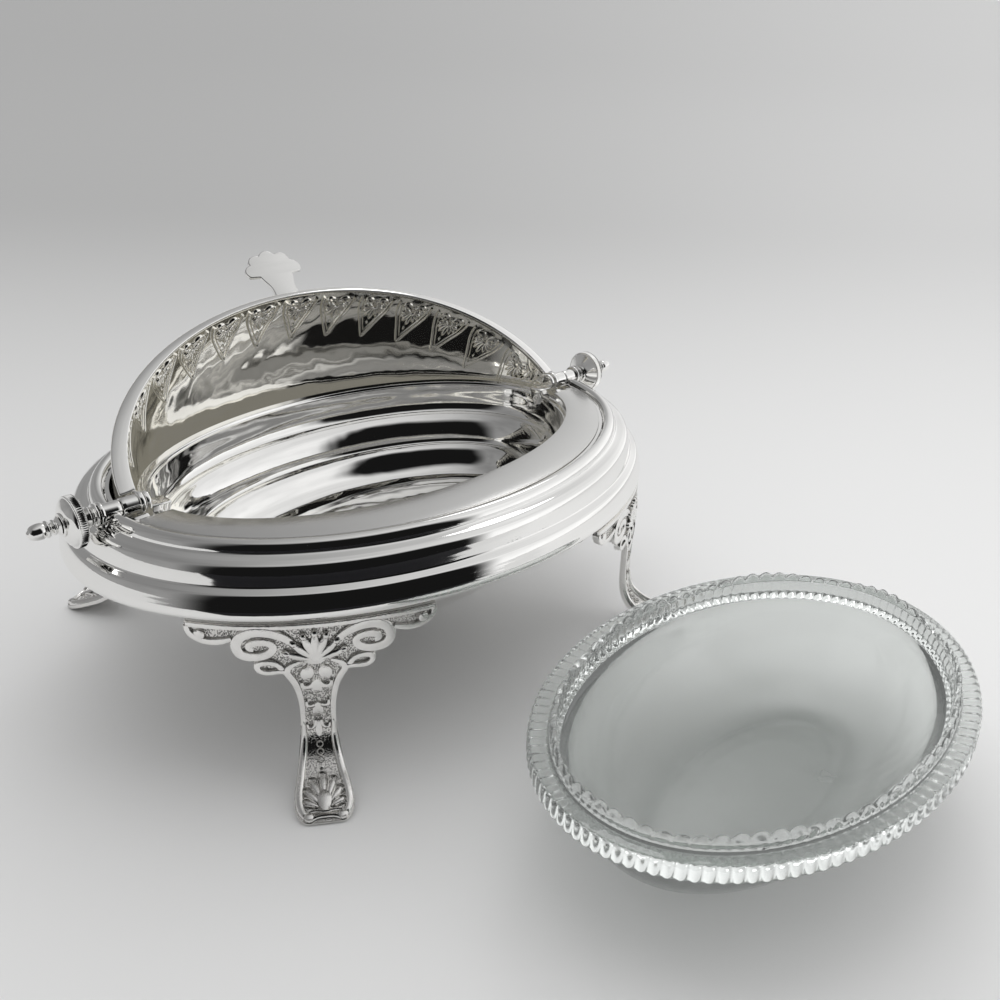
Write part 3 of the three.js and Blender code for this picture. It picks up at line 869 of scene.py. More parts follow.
def ribbon(bm, line, height, base=-0.3, section=STRAP, steps=5, taper=False):
    """A raised band along (across, along, half width) points."""
    points = smooth_line(line, steps)
    rings = []
    for i, ((u, v, half), side) in enumerate(zip(points, sides(points))):
        from_end = min(i, len(points) - 1 - i) / 3
        top = height * (0.35 + 0.65 * min(from_end, 1)) if taper else height
        rings.append([
            (u + side.x * half * across, v + side.y * half * across, base + (top - base) * up)
            for across, up in section])
    sweep(bm, rings)


def petal(bm, root, tip, half_width, height, root_share=0.35, base=0.0, segments=10):
    """A rounded drop from its root to its tip, widest near the tip."""
    made = bmesh.ops.create_uvsphere(bm, u_segments=segments, v_segments=6, radius=1)["verts"]
    root, tip = Vector(root), Vector(tip)
    along = tip - root
    across = Vector((-along.y, along.x)).normalized()
    middle = (root + tip) / 2
    for vert in made:
        x, y, z = vert.co
        t = (y + 1) / 2
        swell = math.sin(min(t, 0.75) / 0.75 * math.pi / 2)
        width = half_width * (root_share + (1 - root_share) * swell)
        at = middle + along * y / 2 + across * x * width
        up = 1 - (1 - z) ** 2.4 if z > 0 else z
        vert.co = (at.x, at.y, base + up * (height - base))


def mirrored(points, side):
    return [(side * u, *rest) for u, *rest in points]


def pendant(bm, width, depth, relief):
    """One pendant of the lid's band: a double pointed border, scrolls and a palmette inside."""
    half = width / 2
    for side in (-1, 1):
        border = [(half, 2.0), (half + 0.1, 4.5), (half - 0.7, 8.5), (half - 2.6, 13), (1.7, 17.6),
                  (0.5, depth - 0.4), (0, depth)]
        inner = [(half - 1.35, 3.2), (half - 1.4, 5.0), (half - 2.1, 8.6), (half - 3.8, 12.6),
                 (1.0, 16.2), (0, 18.0)]
        scroll = [(0.5, 5.6), (0.9, 3.9), (2.0, 2.7), (3.5, 2.5), (4.4, 3.6), (4.0, 4.9),
                  (2.9, 5.0), (2.7, 4.1)]
        for line, half_width, height in ((border, 0.5, 1), (inner, 0.3, 0.6), (scroll, 0.46, 0.95)):
            points = [(side * u, v, half_width) for u, v in line]
            ribbon(bm, points, relief * height, section=BEAD, steps=3)
        for angle, length in ((24, 5.6), (48, 5.0), (73, 4.3), (100, 3.4)):
            a = math.radians(angle)
            tip = (side * length * math.sin(a), 6.3 + length * math.cos(a))
            petal(bm, (side * 0.4 * math.sin(a), 6.2), tip, 0.85, relief * 1.1, segments=8)
    petal(bm, (0, 6.2), (0, 12.9), 0.95, relief * 1.1, segments=8)
    petal(bm, (0, 13.6), (0, 15.2), 0.42, relief * 0.8, 0.8, segments=8)
    petal(bm, (0, 5.4), (0, 3.6), 0.6, relief * 0.8, segments=8)


def oval_lengths(half_length, half_width, steps=1440):
    """The angles round an oval, with the distance along it to each."""
    angles = spread(0, math.tau, steps)
    lengths = [0.0]
    for a, b in zip(angles, angles[1:]):
        middle = (a + b) / 2
        run = math.hypot(half_length * math.sin(middle), half_width * math.cos(middle)) * (b - a)
        lengths.append(lengths[-1] + run)
    return angles, lengths


def locate(value, places):
    """Which of the rising places a value comes after, and its share of the way to the next."""
    low, high = 0, len(places) - 1
    value = min(max(value, places[0]), places[-1])
    while high - low > 1:
        middle = (low + high) // 2
        if places[middle] <= value:
            low = middle
        else:
            high = middle
    return low, (value - places[low]) / (places[high] - places[low])


def lid_band(name, growth, inward):
    """The embossed band, on the inside or the outside face of the dome."""
    s = settings_of("dish_lid")
    a = s.half_length - s.rim_end_width + growth
    b = s.half_width - s.rim_side_width + growth
    angles, lengths = oval_lengths(a, b)
    pattern = bmesh.new()
    pendant(pattern, s.pendant_width, s.pendant_depth, s.relief)
    outward(pattern)
    flat = mesh_from(pattern, "pendant")
    bm = bmesh.new()
    pitch = lengths[-1] / s.pendants
    for k in range(s.pendants):
        start = len(bm.verts)
        bm.from_mesh(flat)
        bm.verts.ensure_lookup_table()
        middle = pitch * (k + FIRST_PENDANT)
        for vert in bm.verts[start:]:
            u, v, w = vert.co
            low, span = locate((middle + u) % lengths[-1], lengths)
            turn = angles[low] + (angles[low + 1] - angles[low]) * span
            rise = (v + s.rim_above) / b
            point = Vector((
                a * math.cos(rise) * math.cos(turn), b * math.cos(rise) * math.sin(turn),
                b * math.sin(rise)))
            normal = Vector((point.x / a ** 2, point.y / b ** 2, point.z / b ** 2)).normalized()
            vert.co = point + normal * (-w if inward else w)
    bpy.data.meshes.remove(flat)
    by_barrels = [
        vert for vert in bm.verts
        if abs(vert.co.y) < BAND_GAP and abs(vert.co.x) > 70 and vert.co.z < BAND_GAP + 0.2]
    bmesh.ops.delete(bm, geom=by_barrels, context="VERTS")
    outward(bm)
    finish_piece(name, bm, ["lid"], [], LID_PLACE, crease=60, body="lid")


def cut_in_strips(bm, low, high, pitch, normal):
    """Cuts all faces with parallel planes, so that they can bend."""
    steps = int((high - low) / pitch)
    for i in range(1, steps):
        at = Vector(normal) * (low + (high - low) * i / steps)
        bmesh.ops.bisect_plane(
            bm, geom=bm.verts[:] + bm.edges[:] + bm.faces[:], dist=0.0001, plane_co=at, plane_no=normal)


def thumbpiece():
    s = settings_of("dish_thumb")
    lid = settings_of("dish_lid")
    neck = s.length * 0.5
    head = s.length - neck
    lobes, notch, ridge_end = 5, 0.13, 0.74
    fan = []
    for angle in spread(0, math.pi, 60):
        reach = 1 - notch * (1 - abs(math.sin(lobes * angle)) ** 0.8)
        fan.append((
            s.head_half_width * reach * math.cos(angle), neck + head * reach * math.sin(angle)))
    stem = smooth_line([
        (s.base_half_width, 0), (s.base_half_width - 0.4, neck * 0.4),
        (s.neck_half_width - 0.6, neck * 0.8), (s.neck_half_width, neck * 0.97)], 4)
    outline = [*stem, *fan, *[(-x, y) for x, y in reversed(stem)]]
    bm = bmesh.new()
    bm.faces.new([bm.verts.new((x, y, 0)) for x, y in outline])
    extrude(bm, (0, 0, s.thickness))
    soften(bm, 0.3)
    cut_in_strips(bm, 0, s.length, pitch=1.1, normal=(0, 1, 0))
    for i in range(lobes):
        angle = math.pi * (i + 0.5) / lobes
        tip = (s.head_half_width * ridge_end * math.cos(angle),
               neck + head * ridge_end * math.sin(angle))
        petal(bm, (0.25 * tip[0], neck - 1.5), tip, 1.3, s.thickness + 0.35, 0.3, s.thickness)
    for vert in bm.verts:
        vert.co.z -= s.curl * (max(vert.co.y - neck, 0) / head) ** 2
    bmesh.ops.rotate(bm, cent=(0, 0, 0), matrix=Matrix.Rotation(math.pi, 3, "Z"), verts=bm.verts)
    bmesh.ops.translate(
        bm, vec=(0, s.lap - lid.half_width, lid.rim_above + 0.3), verts=bm.verts)
    finish_piece(
        "thumb_fan", bm, ["satin"], ["lid_thumbpiece"], LID_PLACE, crease=40)


# Legs. The pattern's across runs round the border and its along runs down the leg to the toe

LEG_LINE = [
    (-1.35, 51.1), (-1.3, 49.0), (-1.25, 46.0), (-1.2, 42.6), (-1.1, 40.2), (-0.9, 36.4),
    (-0.85, 34.6), (-1.0, 30.1), (-1.2, 24.5), (-1.21, 20.5), (-0.88, 16.5), (0, 13.0),
    (2.2, 9.5), (6.6, 6.3), (11.0, 4.5), (15.0, 3.07), (18.7, 1.64), (21.1, 0.82), (22, 0.61),
]

# Half of the leg's outline, from the border down to the toe
LEG_EDGE = [
    (34.6, 0.0), (35.0, 1.2), (34.6, 2.6), (33.4, 4.4), (31.0, 5.9), (28.0, 6.4), (25.2, 6.0),
    (23.2, 5.6), (22.8, 7.2), (21.8, 9.2), (19.6, 10.6), (17.4, 11.2), (16.8, 12.2), (16.9, 13.6),
    (15.7, 15.1), (13.2, 15.9), (10.6, 15.7), (8.8, 15.5), (7.4, 17.1), (6.4, 19.5), (5.7, 22.5),
    (5.2, 26.0), (5.0, 30.0), (5.1, 34.0), (5.5, 38.5), (6.1, 43.0), (7.0, 48.5), (7.9, 53.4),
    (8.3, 57.6), (7.8, 61.4), (6.2, 63.7), (3.6, 64.9), (0.0, 65.1),
]


def leg_plate(bm, back, front):
    outline = smooth_line(LEG_EDGE, 3)
    points = [*outline, *[(-u, v) for u, v in reversed(outline[:-1])]]
    bm.faces.new([bm.verts.new((u, v, front)) for u, v in points])
    cut_in_strips(bm, -36, 36, pitch=1.6, normal=(1, 0, 0))
    cut_in_strips(bm, 0, 66, pitch=1.1, normal=(0, 1, 0))
    for face in bm.faces:
        face.material_index = 1
    extrude(bm, (0, 0, -back - front))
    for face in bm.faces:
        if abs(face.normal.z) < 0.5 or face.calc_center_median().z < front - 0.01:
            face.material_index = 0


def leg_scrolls(bm, side, h):
    def band(line, height=h, **kinds):
        ribbon(bm, mirrored(line, side), height, **kinds)

    band([(0, 0.75, 0.75), (12, 0.75, 0.75), (24, 0.75, 0.75), (34.4, 0.75, 0.7)], h * 0.9)
    band([(22.4, 4.3, 0.6), (25.4, 5.3, 0.9), (28.6, 5.6, 0.9), (31.6, 4.9, 0.9), (33.7, 3.2, 0.85),
          (34.3, 1.2, 0.7)])
    petal(bm, (side * 30.2, 1.9), (side * 31.6, 5.0), 1.75, h * 1.15, 0.8)
    band([(6.4, 5.6, 1.0), (8.5, 4.0, 1.15), (11.2, 2.8, 1.3), (14.4, 2.2, 1.35), (17.7, 2.5, 1.4),
          (20.3, 4.1, 1.45), (21.3, 6.7, 1.45), (20.3, 9.1, 1.45), (17.6, 9.95, 1.35),
          (14.4, 9.7, 1.25), (12.1, 8.5, 1.2), (11.4, 6.9, 1.1), (12.6, 5.6, 1.05),
          (15.2, 5.3, 1.1), (17.4, 6.0, 1.1), (17.8, 7.1, 1.0), (16.6, 7.5, 0.8)])
    band([(9.2, 14.3, 0.8), (10.6, 12.6, 0.8), (13.0, 11.8, 0.8), (15.4, 12.3, 0.85),
          (16.0, 13.6, 0.85), (14.7, 14.8, 0.8), (12.4, 15.0, 0.75), (10.3, 14.8, 0.7),
          (8.6, 14.9, 0.7)])
    band([(4.2, 12.0, 0.55), (5.8, 12.6, 0.7), (7.4, 13.7, 0.8), (8.0, 15.3, 0.95), (6.9, 17.2, 0.95),
          (5.7, 19.6, 0.9), (4.95, 22.6, 0.85), (4.45, 26, 0.8), (4.3, 30, 0.75), (4.4, 33.5, 0.7)])
    band([(4.35, 31.4, 0.5), (4.2, 34.6, 0.85), (4.3, 38.3, 1.1), (4.85, 43.0, 1.2), (5.7, 48.4, 1.25),
          (6.5, 53.3, 1.3), (6.85, 57.5, 1.3), (6.3, 60.7, 1.3), (4.9, 62.5, 1.2)],
         h * 1.45, section=BEAD, taper=True)
    petal(bm, (side * 4.0, 61.2), (side * 5.4, 64.0), 1.6, h * 1.6, 0.8)


def leg_palmette(bm, h):
    root = Vector((0, 11.8))
    petal(bm, (0, 13.4), (0, 8.6), 3.6, h * 1.2, 0.95, segments=14)
    petal(bm, root, (0, 2.5), 1.35, h * 1.6, 0.75)
    for side in (-1, 1):
        for u, v, half in ((3.4, 3.4, 1.3), (6.5, 5.6, 1.3), (8.6, 8.9, 1.2)):
            tip = Vector((side * u, v))
            petal(bm, root.lerp(tip, 0.05), tip, half, h * 1.5, 0.75)
            petal(bm, root.lerp(tip, 0.8), root.lerp(tip, 1.06), 1.0, h * 1.9, 0.9)
    petal(bm, root.lerp(Vector((0, 2.5)), 0.8), (0, 2.0), 1.05, h * 1.95, 0.9)


def leg_flowers(bm, h):
    """The chain of small flowers down the neck, the rings, the bead and the shell."""
    for side in (-1, 1):
        petal(bm, (side * 1.3, 13.6), (side * 3.7, 18.0), 2.2, h, 0.85)
        for curl in (
            [(4.2, 18.8, 0.4), (3.9, 20.1, 0.65), (2.7, 20.7, 0.8), (1.3, 20.2, 0.85),
             (0.4, 18.9, 0.8)],
            [(3.1, 25.4, 0.3), (3.0, 26.8, 0.5), (2.0, 27.3, 0.6), (0.9, 26.9, 0.6)],
            [(3.2, 33.4, 0.25), (2.9, 34.4, 0.4), (1.9, 34.7, 0.5), (1.0, 33.8, 0.5),
             (0.75, 32.2, 0.4)],
        ):
            ribbon(bm, mirrored(curl, side), h)
    petal(bm, (0, 17.6), (0, 23.2), 2.1, h * 1.1, 0.95)
    petal(bm, (0, 25.6), (0, 31.4), 1.9, h * 1.1, 0.7)
    petal(bm, (0, 31.8), (0, 38.0), 1.2, h, 0.35)
    for v in (40.1, 42.4, 44.5):
        ring = [(0.9 * math.cos(a), v + 0.9 * math.sin(a), 0.27) for a in spread(0, math.tau, 12)]
        ribbon(bm, ring, h * 0.8, section=BEAD, steps=1)
    petal(bm, (0, 46.4), (0, 47.6), 0.55, h, 0.9)
    root = Vector((0, 60.4))
    for u, v in ((0, 49.6), (2.9, 51.2), (-2.9, 51.2), (4.6, 54.3), (-4.6, 54.3), (5.0, 57.8),
                 (-5.0, 57.8)):
        middle = Vector((u, v))
        away = (middle - root).normalized()
        across = Vector((-away.y, away.x))
        half = 1.3 if abs(u) < 4.8 else 1.15
        rim = [middle + across * half * math.cos(a) + away * half * math.sin(a)
               for a in spread(math.radians(-25), math.radians(205), 8)]
        rim = [root.lerp(rim[0], 0.55), *rim, root.lerp(rim[-1], 0.55)]
        ribbon(bm, [(*point, 0.3) for point in rim], h * 1.25, section=BEAD, steps=2)
        tip = middle + away * half * 0.6
        petal(bm, root.lerp(middle, 0.3), tip, half * 0.8, h * 1.05, 0.35, segments=12)
    petal(bm, (0, 61.6), (0, 54.2), 2.3, h * 1.9, 0.8, segments=16)
    for height, line in (
        (1.5, [(-4.6, 61.2, 0.5), (-2.4, 60.9, 0.6), (0, 61.2, 0.65), (2.4, 60.9, 0.6),
               (4.6, 61.2, 0.5)]),
        (1.35, [(-4.4, 63.4, 0.7), (-2.2, 62.6, 0.65), (0, 62.5, 0.65), (2.2, 62.6, 0.65),
                (4.4, 63.4, 0.7)]),
    ):
        ribbon(bm, line, h * height, section=BEAD)


def leg_pattern():
    s = settings_of("dish_legs")
    bm = bmesh.new()
    leg_plate(bm, s.plate_back, s.plate_front)
    ornament = bmesh.new()
    for side in (-1, 1):
        leg_scrolls(ornament, side, s.relief)
    leg_palmette(ornament, s.relief)
    leg_flowers(ornament, s.relief)
    outward(ornament)
    bmesh.ops.translate(ornament, vec=(0, 0, s.plate_front), verts=ornament.verts)
    add_part(bm, ornament)
    return mesh_from(bm, "leg_pattern")


def lay_on_leg(bm, angle):
    """Bends the flat pattern to the leg's line, under the border at that angle."""
    s = settings_of("dish_bowl")
    line = smooth_line(LEG_LINE, 6)
    lengths = [0.0]
    for a, b in zip(line, line[1:]):
        lengths.append(lengths[-1] + math.dist(a, b))
    normals = sides(line)
    oval = Vector((s.flange_half_length, s.flange_half_width))
    anchor = Vector((oval.x * math.cos(angle), oval.y * math.sin(angle)))
    out = Vector((math.cos(angle) / oval.x, math.sin(angle) / oval.y)).normalized()
    across = Vector((-out.y, out.x))
    d = Vector((out.x / oval.x, out.y / oval.y))
    for vert in bm.verts:
        u, v, w = vert.co
        low, span = locate(v, lengths)
        (r0, z0), (r1, z1) = line[low], line[low + 1]
        normal = normals[low].lerp(normals[low + 1], span)
        reach = r0 + (r1 - r0) * span + normal.x * w
        z = z0 + (z1 - z0) * span + normal.y * w
        at = anchor + across * u
        p = Vector((at.x / oval.x, at.y / oval.y))
        half = p.dot(d)
        to_flange = (math.sqrt(half ** 2 - d.dot(d) * (p.dot(p) - 1)) - half) / d.dot(d)
        at += out * (to_flange + reach)
        vert.co = (at.x, at.y, max(z, 0))


def legs():
    anchor = bpy.context.scene.dish_legs.anchor
    pattern = leg_pattern()
    for name, angle in (
        ("front_left", math.pi + anchor), ("front_right", -anchor),
        ("back_left", math.pi - anchor), ("back_right", anchor),
    ):
        bm = bmesh.new()
        bm.from_mesh(pattern)
        lay_on_leg(bm, angle)
        outward(bm)
        finish_piece(
            f"cast_leg_{name}", bm, ["cast", "ground"], [f"leg_{name}"],
            crease=45)
    bpy.data.meshes.remove(pattern)


# Liner


def liner_place():
    low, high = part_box("glass_liner")
    middle = (low + high) / 2
    return Matrix.Translation((middle.x, middle.y, 0)) @ Matrix.Rotation(math.radians(5), 4, "Z")


def glass_liner():
    s = settings_of("dish_glass")
    half_length, half_width = s.half_length, s.half_width
    seat = s.flange_height
    flange_top = seat + 5.2
    lace_start = seat + 6
    collar_top = seat + 8.2
    outside = smooth_line([
        (42.0, 0.75), (37.6, 0.35), (35.4, 0.1), (33.6, 0.35), (29.6, 1.7), (24.0, 4.8),
        (18.6, 9.8), (14.2, 15.4), (10.9, 20.8), (9.0, 25.6), (8.2, 28.8)], 4)
    inside = smooth_line([
        (8.45, seat + 2.2), (8.9, seat + 1.1), (9.8, seat + 0.1), (10.7, seat - 1.3), (11.7, 26.4),
        (13.9, 21.6), (17.8, 15.9), (23.1, 10.5), (29.3, 6.2), (33.8, 4.2), (37.5, 3.8)], 4)
    flange = [
        (8.0, seat - 0.1), (1.6, seat), (0.7, seat + 0.1), (0.15, seat + 0.5), (0.0, seat + 1.1),
        (0.0, flange_top - 1.2), (0.25, flange_top - 0.5), (0.8, flange_top - 0.1), (1.4, flange_top),
        (4.4, flange_top - 0.3), (5.3, flange_top - 0.1), (5.75, flange_top + 0.4)]
    collar_line = [
        (5.85, lace_start), (5.9, lace_start + 1.2), (6.05, collar_top - 0.45), (6.4, collar_top - 0.1),
        (6.9, collar_top), (7.4, collar_top - 0.1), (7.75, collar_top - 0.45), (7.85, lace_start + 1.2),
        (7.9, lace_start + 0.2), (8.1, lace_start - 0.2), (8.2, lace_start - 0.8), (8.3, seat + 3.6)]
    outline = [(half_width, 0.9), *outside, *flange, *collar_line, *inside, (half_width, 3.8)]
    bm = spin_oval(outline, half_length, half_width, s.scallops * 12)
    for vert in bm.verts:
        x, y, z = vert.co
        turn = math.atan2(y / half_width, x / half_length)
        reach = math.hypot(x / half_length, y / half_width)
        inset = (1 - reach) * (half_width + 8 * math.cos(turn) ** 2)
        flute = 0.5 - 0.5 * math.cos(s.flutes * turn)
        inward = 0.0
        if inset < 0.35 and z < flange_top - 0.1:
            inward = s.flute_depth * flute
        if inset < 3 and z < seat + 0.6:
            vert.co.z += 0.3 * flute
        if 7.6 < inset < 9.4 and seat + 1.6 < z < lace_start:
            inward = -0.5 * flute * min((z - seat - 1.6) / 1.5, 1)
        if inward:
            vert.co.x *= 1 - inward / half_length
            vert.co.y *= 1 - inward / half_width
        if inset > 4 and z > lace_start:
            wave = 1 - abs(math.sin(s.scallops * turn / 2)) ** 0.7
            hump = 0.5 + 0.5 * math.cos(8 * turn + 0.6)
            lift = (z - lace_start) / (collar_top - lace_start)
            vert.co.z += lift * (1.6 * hump - 0.4 - s.scallop_depth * wave)
    # The fluted edge and the collar's top are the worn glass: frosted, and tinted darker as painted shade
    for face in bm.faces:
        x, y, z = face.calc_center_median()
        fluted_edge = math.hypot(x / half_length, y / half_width) > 0.985
        face.material_index = 1 if fluted_edge or z > lace_start + 0.6 else 0
    outward(bm)
    finish_piece(
        "pressed_liner", bm, ["glass", "worn_glass"], ["glass_liner"], liner_place(),
        crease=50)


# Stage


# Flat directions in the photograph's view
TOWARD_CAMERA = Vector((-0.691, -0.723))
TO_THE_RIGHT = Vector((0.723, -0.691))


def view_parts(nodes, vector):
    """A position or direction, split into toward the camera, to its right, and up."""
    parts = nodes.add("SeparateXYZ", Vector=vector)
    x, y, z = (Number(nodes, socket) for socket in parts.outputs)
    toward = x * TOWARD_CAMERA.x + y * TOWARD_CAMERA.y
    right = x * TO_THE_RIGHT.x + y * TO_THE_RIGHT.y
    return toward, right, z


def floor_material(colour):
    """Pale table that runs on as the backdrop, with painted light: lighter to the right and towards the camera,
    darker far back and most of all far to the left. In the metal it shows a painted dark reflection in front of
    the dish.
    """
    material, nodes, surface, place = new_material("pale_table")
    toward, right, _ = view_parts(nodes, place)
    # Painted light: the table's colour is lighter to the right and towards the camera, and darker far back
    behind_camera = toward.between(0.13, 0.6)
    side = (right / (0.305 - toward).at_least(0.18)).between(-0.5, 0.5)
    side = side + behind_camera * (0.5 - side)
    far = (0 - toward).between(-0.05, 0.8)
    front = toward.between(0.0, 0.24)
    middle = nodes.mix(side, colour, shade(colour, 1.18))
    near = nodes.mix(front, middle, shade(colour, 1.03))
    distant = nodes.mix(side * side, shade(colour, 0.6), shade(colour, 0.88))
    floor_with_painted_light = nodes.mix(far, near, distant)
    # Painted reflection: glossy rays see the table near black in front of the dish
    glossy = nodes.number("LightPath", output="Is Glossy Ray")
    front_edge, left_edge, right_edge = (
        toward.between(0.24, 0.25), (toward * 0.55 + right).between(0, 0.02),
        (toward * 2 - right).between(0, 0.02))
    painted_dark_reflection_mask = front_edge * left_edge * right_edge
    nodes.fill(
        surface,
        Base_Color=nodes.mix(glossy * painted_dark_reflection_mask, floor_with_painted_light, (0.01, 0.01, 0.012)),
        Roughness=0.6,
        Specular_IOR_Level=0.2,
    )
    return material


def world_light():
    """A pale room, brighter on the right, and dark behind and above the camera."""
    world = bpy.data.worlds.new("studio")
    bpy.context.scene.world = world
    world.use_nodes = True
    nodes = Nodes(world.node_tree)
    direction = nodes.add("TexCoord").outputs["Generated"]
    toward, right, up = view_parts(nodes, direction)
    left_side = (right * 0.883 + toward * 0.469 - up * 0.1).between(-0.3, 0.1)
    right_side = (toward * 0.927 - right * 0.375 + up * 0.1).between(-0.1, 0.08)
    dark_room = left_side * right_side * (1 - up.between(0.8, 0.97))
    streaks = nodes.noise(direction, 3.2, 2.0) * 0.5 + 0.8
    room = (right.between(-0.5, 0.55) * 0.62 + 0.26) * (1.12 - up * 0.35) * streaks
    strength = room - dark_room * (room - 0.008)
    seen = nodes.number("LightPath", output="Is Camera Ray")
    strength = strength + seen * (0.8 - strength)
    background = world.node_tree.nodes["Background"]
    nodes.fill(background, Color=(1.0, 1.0, 1.0), Strength=strength)


def area_light(name, place, aim, width, height, power):
    lamp = bpy.data.lights.new(name, "AREA")
    lamp.shape = "RECTANGLE"
    lamp.size = width
    lamp.size_y = height
    lamp.energy = power
    light = add_object(name, lamp)
    light.location = place
    light.rotation_euler = (Vector(aim) - Vector(place)).to_track_quat("-Z", "Y").to_euler()


def soft_sun(name, toward_light, strength, angle, through_glass=False):
    """Even daylight from a wide angle. The metal reflects the pale room instead of its disc."""
    lamp = bpy.data.lights.new(name, "SUN")
    lamp.energy = strength
    lamp.angle = math.radians(angle)
    light = add_object(name, lamp)
    light.rotation_euler = Vector(toward_light).to_track_quat("Z", "Y").to_euler()
    light.visible_glossy = False
    light.visible_transmission = through_glass


def add_painted_reflection_card(name, height, middle, half, fade):
    """Painted reflection: a dark ceiling sheet over the front of the dish, seen only in reflections. Its edges
    fade.
    """
    bm = bmesh.new()
    bmesh.ops.create_grid(bm, x_segments=1, y_segments=1, size=1)
    for vert in bm.verts:
        toward, right = (middle[i] + vert.co[i] * half[i] for i in (0, 1))
        vert.co = (*(TOWARD_CAMERA * toward + TO_THE_RIGHT * right), height)
    card = add_object(name, mesh_from(bm, name))
    material, nodes, surface, place = new_material(name)
    cover = 1
    for axis, along in enumerate(view_parts(nodes, place)[:2]):
        from_middle = (along - middle[axis]).maths("ABSOLUTE")
        cover = (1 - from_middle.between(half[axis] - fade, half[axis])) * cover
    # Painted glow: rays from the second bounce on see the sheet glow pale instead of dark
    second_bounce = nodes.number("LightPath", output="Ray Depth").between(1.4, 1.6)
    nodes.fill(
        surface,
        Base_Color=(0.006, 0.006, 0.008),
        Specular_IOR_Level=0.0,
        Emission_Color=nodes.mix(second_bounce, BLACK, (0.6, 0.59, 0.56)),
        Emission_Strength=1.0,
        Alpha=cover,
    )
    card.data.materials.append(material)
    for rays in ("camera", "diffuse", "shadow", "transmission"):
        setattr(card, "visible_" + rays, False)


def camera(lens):
    """The photograph's view, worked out from the dish's ovals."""
    back = Vector((-0.6236, -0.6525, 0.4305)).normalized()
    right = TO_THE_RIGHT.to_3d().normalized()
    up = back.cross(right)
    roll = math.radians(1.9)
    tilted_right = right * math.cos(roll) + up * math.sin(roll)
    tilted_up = up * math.cos(roll) - right * math.sin(roll)
    data = bpy.data.cameras.new("camera")
    data.lens = lens
    data.sensor_width = 36
    data.clip_start = 0.01
    data.clip_end = 50
    view = add_object("camera", data)
    target = Vector((0.0285, -0.0329 + PIVOT.y, 0.0495))
    distance = 0.3816
    turn = Matrix((tilted_right, tilted_up, back)).transposed()
    view.matrix_world = Matrix.Translation(target + back * distance) @ turn.to_4x4()
    bpy.context.scene.camera = view


def table_top(side, colour):
    bm = bmesh.new()
    bmesh.ops.create_grid(bm, x_segments=8, y_segments=8, size=side / 2)
    floor = add_object("table_top", mesh_from(bm, "table_top"))
    floor.data.materials.append(floor_material(colour))


# Operators


class BUTTERDISH_OT_stage(bpy.types.Operator):
    """Camera, pale table and soft light"""

    bl_idname = "butter_dish.stage"
    bl_label = "Stage"

    def execute(self, context):
        s = context.scene.dish_stage
        camera(s.lens)
        table_top(s.floor_size, tuple(s.floor))
        world_light()
        soft_sun("daylight", (0.26, 0.64, 0.9), strength=0.95, angle=75)
        soft_sun("skylight", (0.1, 0.2, 1.0), strength=1.2, angle=150, through_glass=True)
        # Painted reflection: a dark sheet that only the metal sees
        add_painted_reflection_card("painted_reflection_card", height=0.42, middle=(0.335, 0.205), half=(0.5, 0.5), fade=0.2)
        area_light("window", (1.3, 0.9, 1.5), (0, 0, 0.05), width=0.35, height=0.5, power=1.2)
        context.scene.view_settings.view_transform = "Standard"
        return {"FINISHED"}


class BUTTERDISH_OT_bowls(bpy.types.Operator):
    """Body bowl, moulded border, ledge and inner bowl"""

    bl_idname = "butter_dish.bowls"
    bl_label = "Bowls"

    def execute(self, context):
        body_bowl()
        rim_border()
        front_ledge()
        inner_bowl()
        return {"FINISHED"}


class BUTTERDISH_OT_pivots(bpy.types.Operator):
    """Lugs, barrels, bearings, collars, milled discs and finials"""

    bl_idname = "butter_dish.pivots"
    bl_label = "Pivots"

    def execute(self, context):
        both_ends("finial", finial, "knob_finial")
        both_ends("disc", knob_disc, "knob_disc")
        both_ends("collar", collar, "pivot_collar")
        both_ends("bearing", bearing, "pivot_bearing")
        both_ends("lug", lug, "inner_bowl_lug", finishes=("bowl",))
        both_ends("barrel", lid_barrel, "lid_barrel", base=LID_PLACE)
        for end in ("left", "right"):
            for slot in frame["nodes"][f"pivot_pin_{end}"].material_slots:
                slot.material = finish("turned")
        return {"FINISHED"}


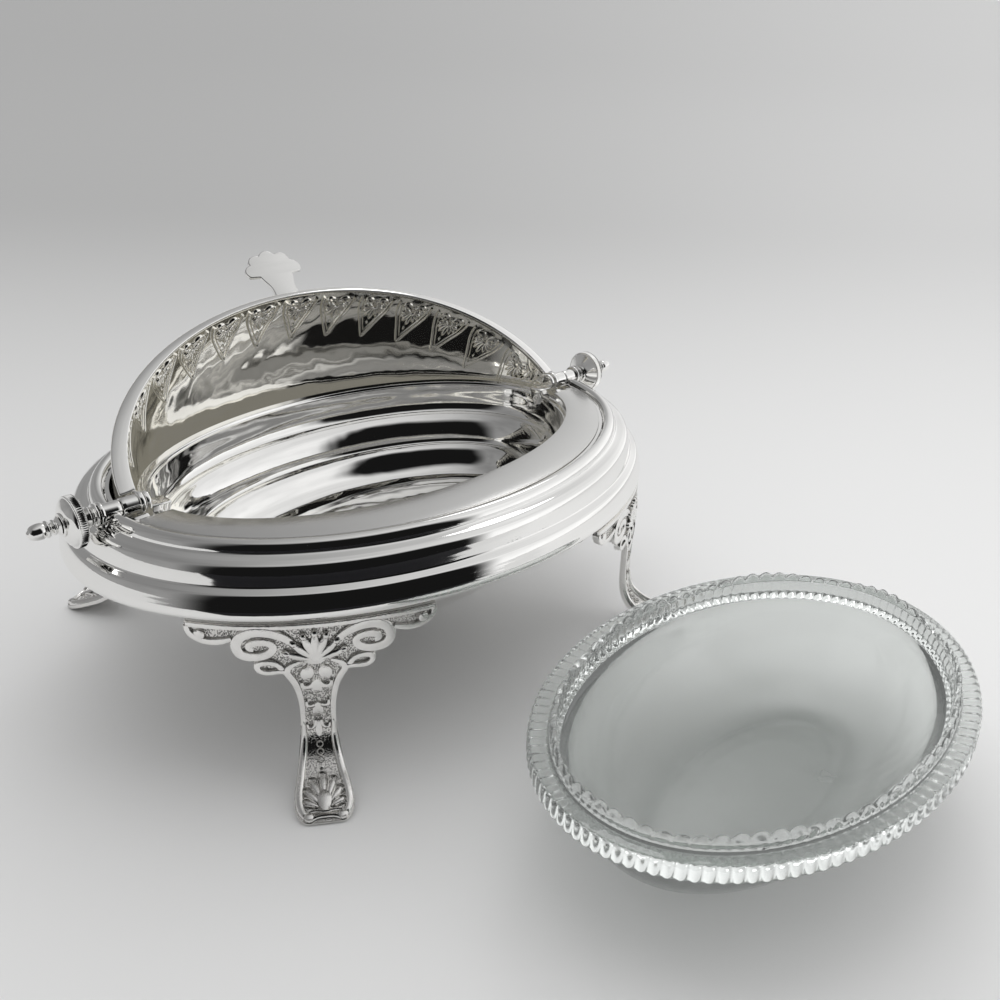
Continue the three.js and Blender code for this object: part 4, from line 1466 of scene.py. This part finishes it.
class BUTTERDISH_OT_lid(bpy.types.Operator):
    """Lid with its embossed band, rim and thumbpiece"""

    bl_idname = "butter_dish.lid"
    bl_label = "Lid"

    def execute(self, context):
        lid_dome()
        lid_rims()
        lid_band("lid_band_inside", growth=0, inward=True)
        lid_band("lid_band_outside", growth=1, inward=False)
        thumbpiece()
        return {"FINISHED"}


class BUTTERDISH_OT_legs(bpy.types.Operator):
    """Four cast legs"""

    bl_idname = "butter_dish.legs"
    bl_label = "Legs"

    def execute(self, context):
        legs()
        return {"FINISHED"}


class BUTTERDISH_OT_liner(bpy.types.Operator):
    """Pressed glass liner"""

    bl_idname = "butter_dish.liner"
    bl_label = "Liner"

    def execute(self, context):
        glass_liner()
        return {"FINISHED"}


OPERATORS = (
    BUTTERDISH_OT_stage, BUTTERDISH_OT_bowls, BUTTERDISH_OT_pivots, BUTTERDISH_OT_lid,
    BUTTERDISH_OT_legs, BUTTERDISH_OT_liner,
)


class BUTTERDISH_PT_panel(bpy.types.Panel):
    """The steps that build the dish"""

    bl_idname = "BUTTERDISH_PT_panel"
    bl_label = "Butter dish"
    bl_space_type = "VIEW_3D"
    bl_region_type = "UI"
    bl_category = "Butter dish"

    def draw(self, context):
        for each in OPERATORS:
            self.layout.operator(each.bl_idname)
        for name in SETTINGS:
            box = self.layout.box()
            group = getattr(context.scene, name)
            for key in group.__annotations__:
                box.prop(group, key)


SETTINGS = {
    "dish_finish": FinishSettings,
    "dish_bowl": BowlSettings,
    "dish_lid": LidSettings,
    "dish_thumb": ThumbSettings,
    "dish_pivots": PivotSettings,
    "dish_legs": LegSettings,
    "dish_glass": GlassSettings,
    "dish_stage": StageSettings,
}


def register():
    for name, group in SETTINGS.items():
        bpy.utils.register_class(group)
        setattr(bpy.types.Scene, name, PointerProperty(type=group))
    for each in (*OPERATORS, BUTTERDISH_PT_panel):
        bpy.utils.register_class(each)


def unregister():
    for each in (BUTTERDISH_PT_panel, *reversed(OPERATORS)):
        bpy.utils.unregister_class(each)
    for name, group in SETTINGS.items():
        delattr(bpy.types.Scene, name)
        bpy.utils.unregister_class(group)


def main():
    register()
    for each in OPERATORS:
        group, step = each.bl_idname.split(".")
        getattr(getattr(bpy.ops, group), step)()


if __name__ == "__main__":
    main()
